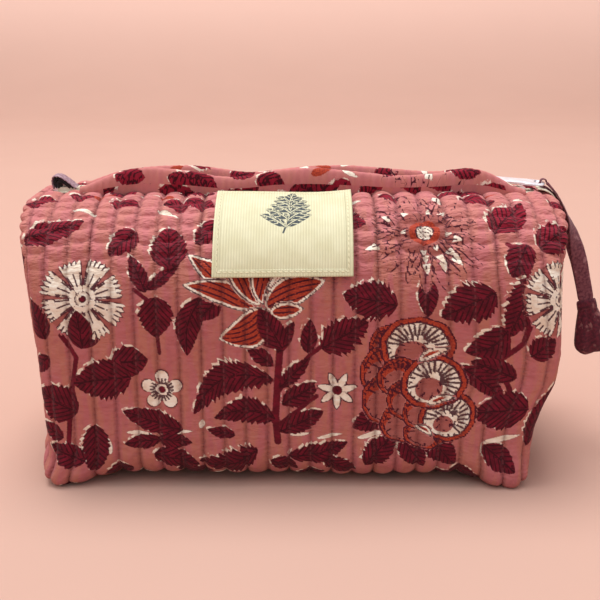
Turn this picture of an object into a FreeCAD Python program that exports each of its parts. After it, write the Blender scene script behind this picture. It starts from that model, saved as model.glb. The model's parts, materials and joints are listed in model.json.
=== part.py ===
import FreeCAD, Part
import math
import os

import Sketcher

# Quilted makeup bag, in millimetres.  +Z is up, X runs along the zip, the front faces -Y.
# The origin is the middle of the flat base.

doc = FreeCAD.newDocument("makeup_bag")
Vector = FreeCAD.Vector

DIMENSIONS = {
    # outer form of the closed bag
    "top_length": 245.0,
    "base_length": 214.0,
    "bag_depth": 114.0,
    "bag_height": 125.5,
    "shoulder_radius": 42.0,
    "base_radius": 12.0,
    "end_radius": 10.0,
    # the quilt: printed face, wadding, lining
    "face_thick": 0.8,
    "wadding_thick": 2.4,
    "lining_thick": 0.8,
    # mouth, flaps and the slot that the zip fills
    "hinge_level": 90.0,
    "mouth_half": 84.0,
    "part_gap": 0.3,
    "slot_half": 5.3,
    "slot_half_length": 113.0,
    # bound edges beside the zip
    "binding_wide": 4.6,
    "binding_wall": 0.8,
    "ridge_level": 134.5,
    "left_ridge_end": 95.0,
    "right_ridge_end": 94.0,
    # zip
    "tape_level": 124.6,
    "tape_thick": 0.5,
    "coil_inner": 0.45,
    "coil_outer": 3.2,
    "coil_tall": 1.9,
    "coil_pitch": 1.5,
    "coil_gap": 0.6,
    "coil_end": 108.0,
    "tail_level": 104.0,
    "stop_long": 2.2,
    # slider, bridge and pull tab
    "slider_at": 92.0,
    "slider_long": 12.0,
    "slider_half": 4.4,
    "plate_thick": 1.2,
    "plate_gap": 0.5,
    "flange_thick": 0.8,
    "post_half": 0.2,
    "post_long": 3.0,
    "bridge_long": 7.0,
    "bridge_wide": 2.0,
    "bridge_tall": 3.7,
    "bridge_wall": 0.8,
    "pivot_level": 130.7,
    "tab_long": 28.0,
    "tab_wide": 5.6,
    "tab_thick": 1.3,
    "tab_bar": 0.8,
    "tab_tilt": 5.0,
    "eye_long": 4.4,
    "eye_wide": 3.2,
    "strap_hole_radius": 1.9,
    "strap_hole_at": 24.6,
    # pull strap and its end
    "strap_wide": 7.5,
    "strap_ply": 0.9,
    "strap_neck": 1.6,
    "end_thick": 3.2,
    # label
    "label_thick": 0.6,
    "label_long": 60.0,
    "label_middle": -2.5,
    "label_base": 97.0,
    "label_top": 18.0,
    # bound seams inside
    "seam_wide": 2.4,
    "seam_deep": 6.0,
    "seam_base": 12.0,
    "seam_top": 108.0,
    "corner_seam_at": 94.0,
    "corner_seam_half": 40.0,
    # folded tab at the left end of the zip
    "end_tab_at": 104.0,
    "end_tab_radius": 5.0,
    "end_tab_wall": 0.9,
    "end_tab_half": 4.2,
}

sheet = doc.addObject("Spreadsheet::Sheet", "Dims")
for row, (alias, value) in enumerate(DIMENSIONS.items(), start=1):
    sheet.set(f"A{row}", alias)
    sheet.set(f"B{row}", str(value))
    sheet.setAlias(f"B{row}", alias)
doc.recompute()

parts = []  # finished sub-parts, in the order in which they are written


def dim(expression):
    """Value of an expression over the sheet's cells."""
    return float(sheet.evalExpression(bound(expression)))


def bound(expression):
    """The expression with each driving dimension's name pointed at the sheet."""
    words = expression.replace("(", "( ").replace(")", " )").split()
    return " ".join(f"Dims.{word}" if word in DIMENSIONS else word for word in words)


def bind(feature, **expressions):
    """Bind a feature's properties to expressions over the sheet's cells."""
    for name, expression in expressions.items():
        feature.setExpression(name, bound(expression))


def finish_part(feature, label):
    feature.Label = label
    parts.append(feature)
    return feature


def box(name, low, high):
    """Box between two corners, each given as three expressions."""
    feature = doc.addObject("Part::Box", name)
    for side, axis, start, end in zip(("Length", "Width", "Height"), "xyz", low, high):
        feature.setExpression(side, bound(f"( {end} ) - ( {start} )"))
        feature.setExpression(f"Placement.Base.{axis}", bound(start))
    return feature


def cut(name, base, tool):
    feature = doc.addObject("Part::Cut", name)
    feature.Base = base
    feature.Tool = tool
    return feature


def common(name, base, tool):
    feature = doc.addObject("Part::Common", name)
    feature.Base = base
    feature.Tool = tool
    return feature


def fuse(name, *shapes):
    feature = doc.addObject("Part::MultiFuse", name)
    feature.Shapes = list(shapes)
    return feature


def section_pad(name, role, corners, start, length):
    """Body whose one closed outline, on an origin plane moved by start, is padded by length.

    Every corner is a pair of expressions, held by named constraints from the sketch's origin.
    """
    body = doc.addObject("PartDesign::Body", name)
    sketch = body.newObject("Sketcher::SketchObject", f"{name}_outline")
    plane = next(item for item in body.Origin.OriginFeatures if item.Role == role)
    sketch.AttachmentSupport = [(plane, "")]
    sketch.MapMode = "FlatFace"
    sketch.setExpression("AttachmentOffset.Base.z", bound(start))
    points = [Vector(dim(across), dim(up), 0) for across, up in corners]
    count = len(points)
    for index in range(count):
        sketch.addGeometry(Part.LineSegment(points[index], points[(index + 1) % count]))
    for index in range(count):
        sketch.addConstraint(Sketcher.Constraint("Coincident", index, 2, (index + 1) % count, 1))
    for index, (across, up) in enumerate(corners):
        for kind, expression, value in (
            ("DistanceX", across, points[index].x),
            ("DistanceY", up, points[index].y),
        ):
            held = sketch.addConstraint(Sketcher.Constraint(kind, -1, 1, index, 1, value))
            title = f"corner_{index}_{kind}"
            sketch.renameConstraint(held, title)
            sketch.setExpression(f"Constraints.{title}", bound(expression))
    pad = body.newObject("PartDesign::Pad", f"{name}_pad")
    pad.Profile = sketch
    pad.setExpression("Length", bound(length))
    return body


# ---------------------------------------------------------------- outer form and its layers


def form(name, inset):
    """Tapered bag form, drawn in by inset: wedge, domed shoulders, round base and end edges."""
    body = doc.addObject("PartDesign::Body", name)
    wedge = body.newObject("PartDesign::AdditiveWedge", f"{name}_wedge")
    wedge.Placement = FreeCAD.Placement(Vector(), FreeCAD.Rotation(Vector(1, 0, 0), 90))
    for end, sign in (("min", "-1"), ("max", "1")):
        bind(wedge, **{f"X{end}": f"{sign} * ( base_length / 2 - {inset} )"})
        bind(wedge, **{f"X2{end}": f"{sign} * ( top_length / 2 - {inset} )"})
        bind(wedge, **{f"Z{end}": f"{sign} * ( bag_depth / 2 - {inset} )"})
        bind(wedge, **{f"Z2{end}": f"{sign} * ( bag_depth / 2 - {inset} )"})
    bind(wedge, Ymin=inset, Ymax=f"bag_height - {inset}")
    doc.recompute()

    def long_edges(shape, level):
        names = []
        for index, edge in enumerate(shape.Edges, start=1):
            ends = [vertex.Point for vertex in edge.Vertexes]
            level_here = all(abs(point.z - level) < 1e-6 for point in ends)
            if level_here and abs(ends[0].y - ends[1].y) < 1e-6:
                names.append(f"Edge{index}")
        return names

    def end_edges(shape):
        """Outlines of the two flat ends."""
        ends = [face for face in shape.Faces if face.Surface.TypeId == "Part::GeomPlane"]
        ends = [face for face in ends if abs(face.normalAt(0, 0).x) > 0.9]
        outline = [edge for face in ends for edge in face.Edges]
        return [
            f"Edge{index}"
            for index, edge in enumerate(shape.Edges, start=1)
            if any(edge.isSame(other) for other in outline)
        ]

    def fillet(base, edges, radius):
        feature = body.newObject("PartDesign::Fillet", f"{name}_round")
        feature.Base = (base, edges)
        bind(feature, Radius=f"{radius} - {inset}")
        doc.recompute()
        return feature

    top = long_edges(wedge.Shape, dim(f"bag_height - {inset}"))
    shoulders = fillet(wedge, top, "shoulder_radius")
    bottom = long_edges(shoulders.Shape, dim(inset))
    rounded = fillet(shoulders, bottom, "base_radius")
    fillet(rounded, end_edges(rounded.Shape), "end_radius")
    return body


FACE = "0"
FACE_BACK = "face_thick"
WADDING_BACK = "( face_thick + wadding_thick )"
LINING_BACK = "( face_thick + wadding_thick + lining_thick )"

raised_form = form("raised_form", "( 0 - label_thick )")
face_form = form("face_form", FACE)
face_back_form = form("face_back_form", FACE_BACK)
wadding_back_form = form("wadding_back_form", WADDING_BACK)
lining_back_form = form("lining_back_form", LINING_BACK)

raised_skin = cut("raised_skin", raised_form, face_form)
face_layer = cut("face_layer", face_form, face_back_form)
wadding_layer = cut("wadding_layer", face_back_form, wadding_back_form)
lining_layer = cut("lining_layer", wadding_back_form, lining_back_form)

# ---------------------------------------------------------------- shell, open at the mouth

mouth = box(
    "mouth",
    ("-1 * mouth_half", "-1 * bag_depth", "hinge_level"),
    ("mouth_half", "bag_depth", "bag_height * 2"),
)
zip_slot = box(
    "zip_slot",
    ("-1 * slot_half_length", "-1 * slot_half", "bag_height - end_radius"),
    ("slot_half_length", "slot_half", "bag_height * 2"),
)
opening = fuse("opening", mouth, zip_slot)
for layer, label in (
    (face_layer, "shell_outer"),
    (wadding_layer, "shell_wadding"),
    (lining_layer, "shell_lining"),
):
    finish_part(cut(f"{label}_cut", layer, opening), label)

# Bound seam allowances inside: upright at both ends, and across the base corners.
for label, sign in (("left_seam_binding", "-1"), ("right_seam_binding", "1")):
    strip = box(
        f"{label}_box",
        ("-1 * bag_depth", "-1 * seam_wide / 2", "seam_base"),
        ("bag_depth", "seam_wide / 2", "seam_top"),
    )
    lean = doc.addObject("Part::Wedge", f"{label}_lean")
    lean.Placement = FreeCAD.Placement(Vector(), FreeCAD.Rotation(Vector(1, 0, 0), 90))
    for end, turn in (("min", "0"), ("max", "1")):
        inner = f"{turn} * seam_deep" if sign == "-1" else f"( {turn} - 1 ) * seam_deep"
        near = f"{sign} * ( base_length / 2 - {LINING_BACK} ) + {inner}"
        far = f"{sign} * ( top_length / 2 - {LINING_BACK} ) + {inner}"
        bind(lean, **{f"X{end}": near, f"X2{end}": far})
    bind(lean, Zmin="-1 * seam_wide / 2", Zmax="seam_wide / 2")
    bind(lean, Z2min="-1 * seam_wide / 2", Z2max="seam_wide / 2")
    bind(lean, Ymin=LINING_BACK, Ymax=f"bag_height - {LINING_BACK}")
    finish_part(common(f"{label}_trim", lean, strip), label)

for label, start, end in (
    ("left_corner_binding", "-1 * corner_seam_at - seam_wide", "-1 * corner_seam_at"),
    ("right_corner_binding", "corner_seam_at", "corner_seam_at + seam_wide"),
):
    corner = box(
        label,
        (start, "-1 * corner_seam_half", LINING_BACK),
        (end, "corner_seam_half", f"{LINING_BACK} + seam_deep"),
    )
    finish_part(corner, label)

# ---------------------------------------------------------------- flaps, bindings and zip


def side_box(name, side, near, half_length, base):
    """Region on one side of the zip, from near outwards and from base upwards."""
    outwards = ("-1 * bag_depth", f"-1 * ( {near} )") if side < 0 else (near, "bag_depth")
    return box(
        name,
        (f"-1 * ( {half_length} )", outwards[0], base),
        (half_length, outwards[1], "bag_height * 2"),
    )


def mirrored(side, corners):
    return [(f"{side} * ( {across} )", up) for across, up in corners]


BINDING_BACK = "slot_half + binding_wide"
CORE_NEAR = "slot_half + binding_wall"
CORE_FAR = "slot_half + binding_wide - binding_wall"
BINDING_OUTLINE = [
    ("slot_half", "bag_height - face_thick - wadding_thick - lining_thick"),
    ("slot_half", "ridge_level - 1"),
    ("slot_half + 1", "ridge_level"),
    (f"{BINDING_BACK} - 1", "ridge_level"),
    (BINDING_BACK, "ridge_level - 1"),
    (BINDING_BACK, "bag_height"),
    (CORE_FAR, "bag_height"),
    (CORE_FAR, "ridge_level - binding_wall"),
    (CORE_NEAR, "ridge_level - binding_wall"),
    (CORE_NEAR, "bag_height - face_thick - wadding_thick - lining_thick"),
]
CORE_OUTLINE = [
    (CORE_NEAR, "bag_height - face_thick - wadding_thick"),
    (CORE_NEAR, "ridge_level - binding_wall"),
    (CORE_FAR, "ridge_level - binding_wall"),
    (CORE_FAR, "bag_height - face_thick - wadding_thick"),
]
TAPE_OUTLINE = [
    ("coil_inner", "tape_level"),
    ("slot_half - tape_thick", "tape_level"),
    ("slot_half - tape_thick", "tape_level - 3"),
    ("slot_half", "tape_level - 3"),
    ("slot_half", "tape_level + tape_thick"),
    ("coil_inner", "tape_level + tape_thick"),
]
COIL_BASE = "tape_level + tape_thick"
FLAP_HALF = "mouth_half - part_gap"


def coil_comb(name, side, start, end):
    """Half of the zip's coil: a spine with one tooth for each turn, facing the other half."""
    first = dim(start)
    pitch = dim("coil_pitch")
    gap = dim("coil_gap")
    turns = int((dim(end) - first) / pitch)
    tip = side * dim("coil_inner")
    root = side * dim("coil_outer - 1.2")
    spine = side * dim("coil_outer")
    level = dim(COIL_BASE)
    points = [Vector(first, spine, level)]
    for turn in range(turns):
        here = first + turn * pitch
        points.append(Vector(here, tip, level))
        points.append(Vector(here + pitch - gap, tip, level))
        points.append(Vector(here + pitch - gap, root, level))
        points.append(Vector(here + pitch, root, level))
    points.append(Vector(first + turns * pitch, spine, level))
    points.append(points[0])
    feature = doc.addObject("Part::Feature", name)
    feature.Shape = Part.Face(Part.makePolygon(points)).extrude(Vector(0, 0, dim("coil_tall")))
    return feature


def ridge_stub(name, side, start, end):
    """Short run of binding on the shell, sloping down to the fabric at its outer end."""
    return section_pad(
        f"{name}_bar",
        "XZ_Plane",
        [
            (start, "bag_height"),
            (start, "ridge_level"),
            (end, "bag_height + tape_thick"),
            (end, "bag_height"),
        ],
        "slot_half" if side < 0 else f"-1 * ( {BINDING_BACK} )",
        "binding_wide",
    )


def build_side(word, side):
    flap = {}
    flap["outer"] = common(
        f"{word}_outer_trim",
        face_layer,
        side_box(f"{word}_outer_region", side, BINDING_BACK, FLAP_HALF, "hinge_level + part_gap"),
    )
    wadding = common(
        f"{word}_wadding_trim",
        wadding_layer,
        side_box(f"{word}_wadding_region", side, CORE_NEAR, FLAP_HALF, "hinge_level + part_gap"),
    )
    core = section_pad(
        f"{word}_core",
        "YZ_Plane",
        mirrored(side, CORE_OUTLINE),
        f"-1 * ( {FLAP_HALF} )",
        f"2 * ( {FLAP_HALF} )",
    )
    flap["wadding"] = fuse(f"{word}_wadding_joined", wadding, core)
    flap["lining"] = common(
        f"{word}_lining_trim",
        lining_layer,
        side_box(f"{word}_lining_region", side, CORE_NEAR, FLAP_HALF, "hinge_level + part_gap"),
    )
    for layer, feature in flap.items():
        finish_part(feature, f"{word}_flap_{layer}")

    for label, outline in (("binding", BINDING_OUTLINE), ("zip_tape", TAPE_OUTLINE)):
        strip = section_pad(
            f"{word}_{label}_body",
            "YZ_Plane",
            mirrored(side, outline),
            f"-1 * ( {FLAP_HALF} )",
            f"2 * ( {FLAP_HALF} )",
        )
        finish_part(strip, f"{word}_{label}")
    finish_part(
        coil_comb(f"{word}_coil_body", side, f"-1 * ( {FLAP_HALF} )", FLAP_HALF),
        f"{word}_zip_coil",
    )

    # The same strips where they run on over the fixed ends of the bag.
    ridge_ends = fuse(
        f"{word}_ridge_ends",
        ridge_stub(f"{word}_left_stub", side, "-1 * mouth_half", "-1 * left_ridge_end"),
        ridge_stub(f"{word}_right_stub", side, "mouth_half", "right_ridge_end"),
    )
    finish_part(ridge_ends, f"{word}_binding_ends")
    runs = [
        section_pad(
            f"{word}_{end}_tape",
            "YZ_Plane",
            mirrored(side, TAPE_OUTLINE),
            start,
            "slot_half_length - mouth_half",
        )
        for end, start in (("left", "-1 * slot_half_length"), ("right", "mouth_half"))
    ]
    near, far = ("coil_inner", "slot_half") if side > 0 else ("-1 * slot_half", "-1 * coil_inner")
    riser = box(
        f"{word}_tape_riser",
        ("slot_half_length - 1", near, "tape_level"),
        ("slot_half_length", far, "bag_height + label_thick"),
    )
    tail_region = box(
        f"{word}_tail_region",
        ("slot_half_length - 1", near, "tail_level"),
        ("top_length", far, "bag_height * 2"),
    )
    tail = common(f"{word}_tape_tail", raised_skin, tail_region)
    finish_part(fuse(f"{word}_tape_ends", *runs, riser, tail), f"{word}_zip_tape_ends")
    coils = fuse(
        f"{word}_coil_ends",
        coil_comb(f"{word}_left_coil", side, "-1 * coil_end", "-1 * mouth_half"),
        coil_comb(f"{word}_right_coil", side, "mouth_half", "coil_end"),
    )
    finish_part(coils, f"{word}_zip_coil_ends")


build_side("front", -1)
build_side("rear", 1)

# Stops: a clip on each coil half past the slider, and one bar across both at the other end.
stops = [
    box(
        f"top_stop_{index}",
        ("coil_end", low, COIL_BASE),
        ("coil_end + stop_long", high, f"{COIL_BASE} + coil_tall"),
    )
    for index, (low, high) in enumerate(
        (("-1 * coil_outer", "-1 * coil_inner"), ("coil_inner", "coil_outer"))
    )
]
finish_part(fuse("top_stop_pair", *stops), "top_stops")
bottom_stop = box(
    "bottom_stop_bar",
    ("-1 * coil_end - stop_long", "-1 * coil_outer", COIL_BASE),
    ("-1 * coil_end", "coil_outer", f"{COIL_BASE} + coil_tall"),
)
finish_part(bottom_stop, "bottom_stop")

# Folded tab: a half tube of ribbon that stands on the left end of the zip.
tube = []
for word, wall in (("outside", "0"), ("inside", "end_tab_wall")):
    cylinder = doc.addObject("Part::Cylinder", f"end_tab_{word}")
    bind(cylinder, Radius=f"end_tab_radius - {wall}", Height="2 * end_tab_half")
    cylinder.Placement.Rotation = FreeCAD.Rotation(Vector(1, 0, 0), 90)
    cylinder.setExpression("Placement.Base.x", bound("-1 * end_tab_at"))
    cylinder.setExpression("Placement.Base.y", bound("end_tab_half"))
    cylinder.setExpression("Placement.Base.z", bound(f"{COIL_BASE} + coil_tall"))
    tube.append(cylinder)
ring = cut("end_tab_ring", *tube)
above_zip = box(
    "above_zip",
    ("-1 * bag_depth * 2", "-1 * bag_depth", f"{COIL_BASE} + coil_tall"),
    ("0", "bag_depth", "bag_height * 2"),
)
finish_part(common("end_tab_arch", ring, above_zip), "left_end_tab")

# Label: a woven patch that follows the front shoulder.
label_region = box(
    "label_region",
    ("label_middle - label_long / 2", "-1 * bag_depth", "label_base"),
    ("label_middle + label_long / 2", "-1 * label_top", "bag_height * 2"),
)
finish_part(common("label_patch", raised_skin, label_region), "label")

# ---------------------------------------------------------------- slider and pull tab

SLIDER_START = "slider_at - slider_long / 2"
TOP_PLATE = "tape_level + tape_thick + coil_tall + plate_gap"
BOTTOM_PLATE = "tape_level - plate_gap - plate_thick"
top_plate = section_pad(
    "slider_top_plate",
    "YZ_Plane",
    [
        ("-1 * slider_half", f"{COIL_BASE} + plate_gap"),
        ("-1 * slider_half", f"{TOP_PLATE} + plate_thick"),
        ("slider_half", f"{TOP_PLATE} + plate_thick"),
        ("slider_half", f"{COIL_BASE} + plate_gap"),
        ("slider_half - flange_thick", f"{COIL_BASE} + plate_gap"),
        ("slider_half - flange_thick", TOP_PLATE),
        ("-1 * slider_half + flange_thick", TOP_PLATE),
        ("-1 * slider_half + flange_thick", f"{COIL_BASE} + plate_gap"),
    ],
    SLIDER_START,
    "slider_long",
)
bottom_plate = box(
    "slider_bottom_plate",
    (SLIDER_START, "-1 * slider_half", BOTTOM_PLATE),
    (f"{SLIDER_START} + slider_long", "slider_half", "tape_level - plate_gap"),
)
post = box(
    "slider_post",
    (f"{SLIDER_START} + slider_long - post_long", "-1 * post_half", BOTTOM_PLATE),
    (f"{SLIDER_START} + slider_long", "post_half", f"{TOP_PLATE} + plate_thick"),
)
finish_part(fuse("slider_casting", top_plate, bottom_plate, post), "slider_body")

BRIDGE_BASE = f"{TOP_PLATE} + plate_thick"
bridge = section_pad(
    "bridge_strip",
    "XZ_Plane",
    [
        ("slider_at - bridge_long / 2", BRIDGE_BASE),
        ("slider_at - bridge_long / 2", f"{BRIDGE_BASE} + bridge_tall - 1"),
        ("slider_at - bridge_long / 2 + 1", f"{BRIDGE_BASE} + bridge_tall"),
        ("slider_at + bridge_long / 2 - 1", f"{BRIDGE_BASE} + bridge_tall"),
        ("slider_at + bridge_long / 2", f"{BRIDGE_BASE} + bridge_tall - 1"),
        ("slider_at + bridge_long / 2", BRIDGE_BASE),
        ("slider_at + bridge_long / 2 - bridge_wall", BRIDGE_BASE),
        ("slider_at + bridge_long / 2 - bridge_wall", f"{BRIDGE_BASE} + bridge_tall - bridge_wall"),
        ("slider_at - bridge_long / 2 + bridge_wall", f"{BRIDGE_BASE} + bridge_tall - bridge_wall"),
        ("slider_at - bridge_long / 2 + bridge_wall", BRIDGE_BASE),
    ],
    "-1 * bridge_wide / 2",
    "bridge_wide",
)
finish_part(bridge, "slider_bridge")

# Pull tab, drawn flat with its cross bar on the pivot and then tilted down to the right.
plate = box(
    "tab_plate",
    ("-1 * tab_bar / 2", "-1 * tab_wide / 2", "-1 * tab_thick / 2"),
    ("tab_long - tab_wide / 2", "tab_wide / 2", "tab_thick / 2"),
)
eye = box(
    "tab_eye",
    ("tab_bar / 2", "-1 * eye_wide / 2", "-1 * tab_thick"),
    ("tab_bar / 2 + eye_long", "eye_wide / 2", "tab_thick"),
)


def upright_cylinder(name, radius, height, at_x):
    cylinder = doc.addObject("Part::Cylinder", name)
    bind(cylinder, Radius=radius, Height=height)
    cylinder.setExpression("Placement.Base.x", bound(at_x))
    cylinder.setExpression("Placement.Base.z", bound(f"-1 * ( {height} ) / 2"))
    return cylinder


tab_end = upright_cylinder("tab_end", "tab_wide / 2", "tab_thick", "tab_long - tab_wide / 2")
strap_hole = upright_cylinder("strap_hole", "strap_hole_radius", "tab_thick * 2", "strap_hole_at")
pull_tab = cut("tab_cut", fuse("tab_blank", plate, tab_end), fuse("tab_holes", eye, strap_hole))
pull_tab.Placement.Rotation = FreeCAD.Rotation(Vector(0, 1, 0), dim("tab_tilt"))
pull_tab.setExpression("Placement.Base.x", bound("slider_at"))
pull_tab.setExpression("Placement.Base.z", bound("pivot_level"))
finish_part(pull_tab, "pull_tab")

# ---------------------------------------------------------------- pull strap

# One strip of folded cloth, 0.1 mm between its plies.  Its gathered middle goes through the tab's
# hole and round its tip, and its two plies hang beside each other, across Y, down to the cloth end.
pivot = Vector(dim("slider_at"), 0, dim("pivot_level"))
tab_turn = FreeCAD.Rotation(Vector(0, 1, 0), dim("tab_tilt"))
tip_reach = dim("( strap_hole_at + strap_hole_radius + tab_long ) / 2")
tip = pivot + tab_turn.multVec(Vector(tip_reach, 0, 0))
NECK_INNER = 1.15
NECK_OUTER = 1.95
neck_middle = (NECK_INNER + NECK_OUTER) / 2

FRONT_PLY = [
    Vector(126.2, 0, 122.9),
    Vector(131.6, 0, 113.6),
    Vector(136.3, 0, 101.8),
    Vector(140.3, 0, 87.0),
    Vector(144.1, 0, 71.0),
]
REAR_PLY = [
    Vector(127.2, 0, 119.5),
    Vector(129.6, 0, 112.0),
    Vector(134.9, 0, 100.8),
    *FRONT_PLY[-2:],
]
FRONT_NECK = [
    tip + Vector(neck_middle, 0, 0.4),
    tip + Vector(3.6, 0, -1.6),
    FRONT_PLY[0] + (FRONT_PLY[1] - FRONT_PLY[0]) * 0.1,
]
REAR_NECK = [
    tip + Vector(-neck_middle, 0, 0.4),
    tip + Vector(-neck_middle, 0, -1.4),
    tip + Vector(2.2, 0, -1.9),
    REAR_PLY[0] + (REAR_PLY[1] - REAR_PLY[0]) * 0.1,
]


def smooth_route(points):
    """Straight runs joined by tangent arcs, each as large as its two runs allow."""
    edges = []
    radii = []
    start = points[0]
    for before, corner, after in zip(points, points[1:], points[2:]):
        back = before - corner
        ahead = after - corner
        reach = 0.45 * min(back.Length, ahead.Length)
        back.normalize()
        ahead.normalize()
        turn = math.pi - back.getAngle(ahead)
        radius = reach / math.tan(turn / 2)
        inward = back + ahead
        inward.normalize()
        middle = corner + inward * (radius / math.cos(turn / 2) - radius)
        enter = corner + back * reach
        leave = corner + ahead * reach
        edges.append(Part.LineSegment(start, enter).toShape())
        edges.append(Part.Arc(enter, middle, leave).toShape())
        radii.append(radius)
        start = leave
    edges.append(Part.LineSegment(start, points[-1]).toShape())
    return Part.Wire(edges), radii


def strip_along(name, points, wide, near, far):
    """Strip that follows a route in the XZ plane, wide in that plane, between two levels of Y."""
    route, radii = smooth_route(points)
    along = points[1] - points[0]
    along.normalize()
    across = Vector(-along.z, 0, along.x) * (wide / 2)
    corners = [
        points[0] + across + Vector(0, near, 0),
        points[0] - across + Vector(0, near, 0),
        points[0] - across + Vector(0, far, 0),
        points[0] + across + Vector(0, far, 0),
    ]
    section = Part.makePolygon([*corners, corners[0]])
    solid = route.makePipeShell([section], True, False)
    wanted = wide * (far - near) * route.Length
    print(f"{name}: length {route.Length:.1f}, radii {[round(radius, 1) for radius in radii]},")
    print(f"    volume {solid.Volume:.1f} against section x length {wanted:.1f}")
    return solid


def shape_part(name, shape):
    feature = doc.addObject("Part::Feature", name)
    feature.Shape = shape
    return finish_part(feature, name)


wide = dim("strap_wide")
ply = dim("strap_ply")
ply_gap = 0.1
neck_half = dim("strap_neck / 2")
loop_start = tip + Vector(0, neck_half, 0)
loop = Part.makeCylinder(NECK_OUTER, 2 * neck_half, loop_start, Vector(0, -1, 0))
loop = loop.cut(Part.makeCylinder(NECK_INNER, 2 * neck_half, loop_start, Vector(0, -1, 0)))
loop_reach = 2 * NECK_OUTER
upper_half = Part.makeBox(
    2 * loop_reach, 2 * loop_reach, loop_reach, tip - Vector(loop_reach, loop_reach, 0)
)
neck_wide = NECK_OUTER - NECK_INNER
strap = loop.common(upper_half).fuse([
    strip_along("front neck", FRONT_NECK, neck_wide, -neck_half, neck_half),
    strip_along("rear neck", REAR_NECK, neck_wide, -neck_half, neck_half),
    strip_along("front ply", FRONT_PLY, wide, -ply_gap - ply, -ply_gap),
    strip_along("rear ply", REAR_PLY, wide, ply_gap, ply_gap + ply),
])
shape_part("pull_strap", strap.removeSplitter())

# Cloth end: a bell that starts on the plies' cut ends, flares and has a rounded lower edge.
fall = FRONT_PLY[-1] - FRONT_PLY[-2]
fall.normalize()
sideways = Vector(-fall.z, 0, fall.x)
BELL_HALF_TOP = 4.2
BELL_HALF_LOW = 9.5
BELL_NECK = 4.0
BELL_LONG = 22.0
BELL_DROP = 27.0


def bell_point(down, across):
    return FRONT_PLY[-1] + fall * down + sideways * across


sides = [
    [bell_point(0, side * BELL_HALF_TOP) for side in (1, -1)],
    [bell_point(BELL_NECK, side * BELL_HALF_TOP) for side in (1, -1)],
    [bell_point(BELL_LONG, side * BELL_HALF_LOW) for side in (1, -1)],
]
bell = Part.Wire([
    Part.LineSegment(sides[0][0], sides[0][1]).toShape(),
    Part.LineSegment(sides[0][1], sides[1][1]).toShape(),
    Part.LineSegment(sides[1][1], sides[2][1]).toShape(),
    Part.Arc(sides[2][1], bell_point(BELL_DROP, 0), sides[2][0]).toShape(),
    Part.LineSegment(sides[2][0], sides[1][0]).toShape(),
    Part.LineSegment(sides[1][0], sides[0][0]).toShape(),
])
cloth_end = Part.Face(bell).extrude(Vector(0, dim("end_thick"), 0))
cloth_end.translate(Vector(0, -dim("end_thick / 2"), 0))
shape_part("pull_end", cloth_end)

# ---------------------------------------------------------------- check and write

doc.recompute()
for item in doc.Objects:
    if "Invalid" in item.State or "Error" in item.State:
        raise RuntimeError(f"{item.Name} did not recompute: {item.State}")
for item in parts:
    if item.Shape.isNull() or not item.Shape.isValid():
        raise RuntimeError(f"{item.Label} has no valid shape")

os.makedirs("parts", exist_ok=True)
for item in parts:
    item.Shape.exportStep(f"parts/{item.Label}.step")
    size = item.Shape.BoundBox
    print(
        f"{item.Label}: {len(item.Shape.Solids)} solid(s), {item.Shape.Volume:.0f} mm3, "
        f"x {size.XMin:.1f}..{size.XMax:.1f} y {size.YMin:.1f}..{size.YMax:.1f} "
        f"z {size.ZMin:.1f}..{size.ZMax:.1f}"
    )
print(f"{len(parts)} sub-parts")
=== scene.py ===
import math

import bmesh
import bpy
import numpy as np
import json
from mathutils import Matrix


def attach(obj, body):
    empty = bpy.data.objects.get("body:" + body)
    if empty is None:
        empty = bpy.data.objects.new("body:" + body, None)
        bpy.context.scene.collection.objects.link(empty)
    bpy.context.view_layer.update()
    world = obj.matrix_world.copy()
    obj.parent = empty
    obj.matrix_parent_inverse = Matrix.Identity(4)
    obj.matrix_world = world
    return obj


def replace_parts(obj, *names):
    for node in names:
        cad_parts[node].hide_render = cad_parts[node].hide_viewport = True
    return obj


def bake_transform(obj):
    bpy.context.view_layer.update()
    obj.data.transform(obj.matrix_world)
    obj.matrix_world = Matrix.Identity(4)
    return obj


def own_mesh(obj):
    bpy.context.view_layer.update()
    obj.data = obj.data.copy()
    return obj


# Quilted makeup bag.  Lengths are in millimetres until a mesh is made, then in metres.
# +Z is up, X runs along the zip and the front faces -Y.

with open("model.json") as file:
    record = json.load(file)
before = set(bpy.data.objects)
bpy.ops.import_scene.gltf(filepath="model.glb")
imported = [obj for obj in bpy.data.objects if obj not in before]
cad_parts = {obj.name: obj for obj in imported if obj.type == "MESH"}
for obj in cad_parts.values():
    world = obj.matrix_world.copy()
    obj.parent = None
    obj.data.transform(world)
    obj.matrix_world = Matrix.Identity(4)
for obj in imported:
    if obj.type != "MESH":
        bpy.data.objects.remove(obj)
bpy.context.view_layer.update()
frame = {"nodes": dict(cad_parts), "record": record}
scene = bpy.context.scene
TAU = 2 * math.pi


def stand(name, data, place=(0.0, 0.0, 0.0), turn=(0.0, 0.0, 0.0)):
    """Object in the scene at a place, turned by three angles."""
    thing = bpy.data.objects.new(name, data)
    thing.location = place
    thing.rotation_euler = turn
    scene.collection.objects.link(thing)
    return thing


# ---------------------------------------------------------------- camera

camera_data = bpy.data.cameras.new("camera")
camera_data.lens = 58.9
camera_data.sensor_width = 36.0
camera_data.shift_x = 0.018
camera_data.clip_start = 0.01
scene.camera = stand("camera", camera_data, (0.0, -0.458, 0.2027), (math.radians(74.0), 0.0, 0.0))

# ---------------------------------------------------------------- pull strap routes

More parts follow.
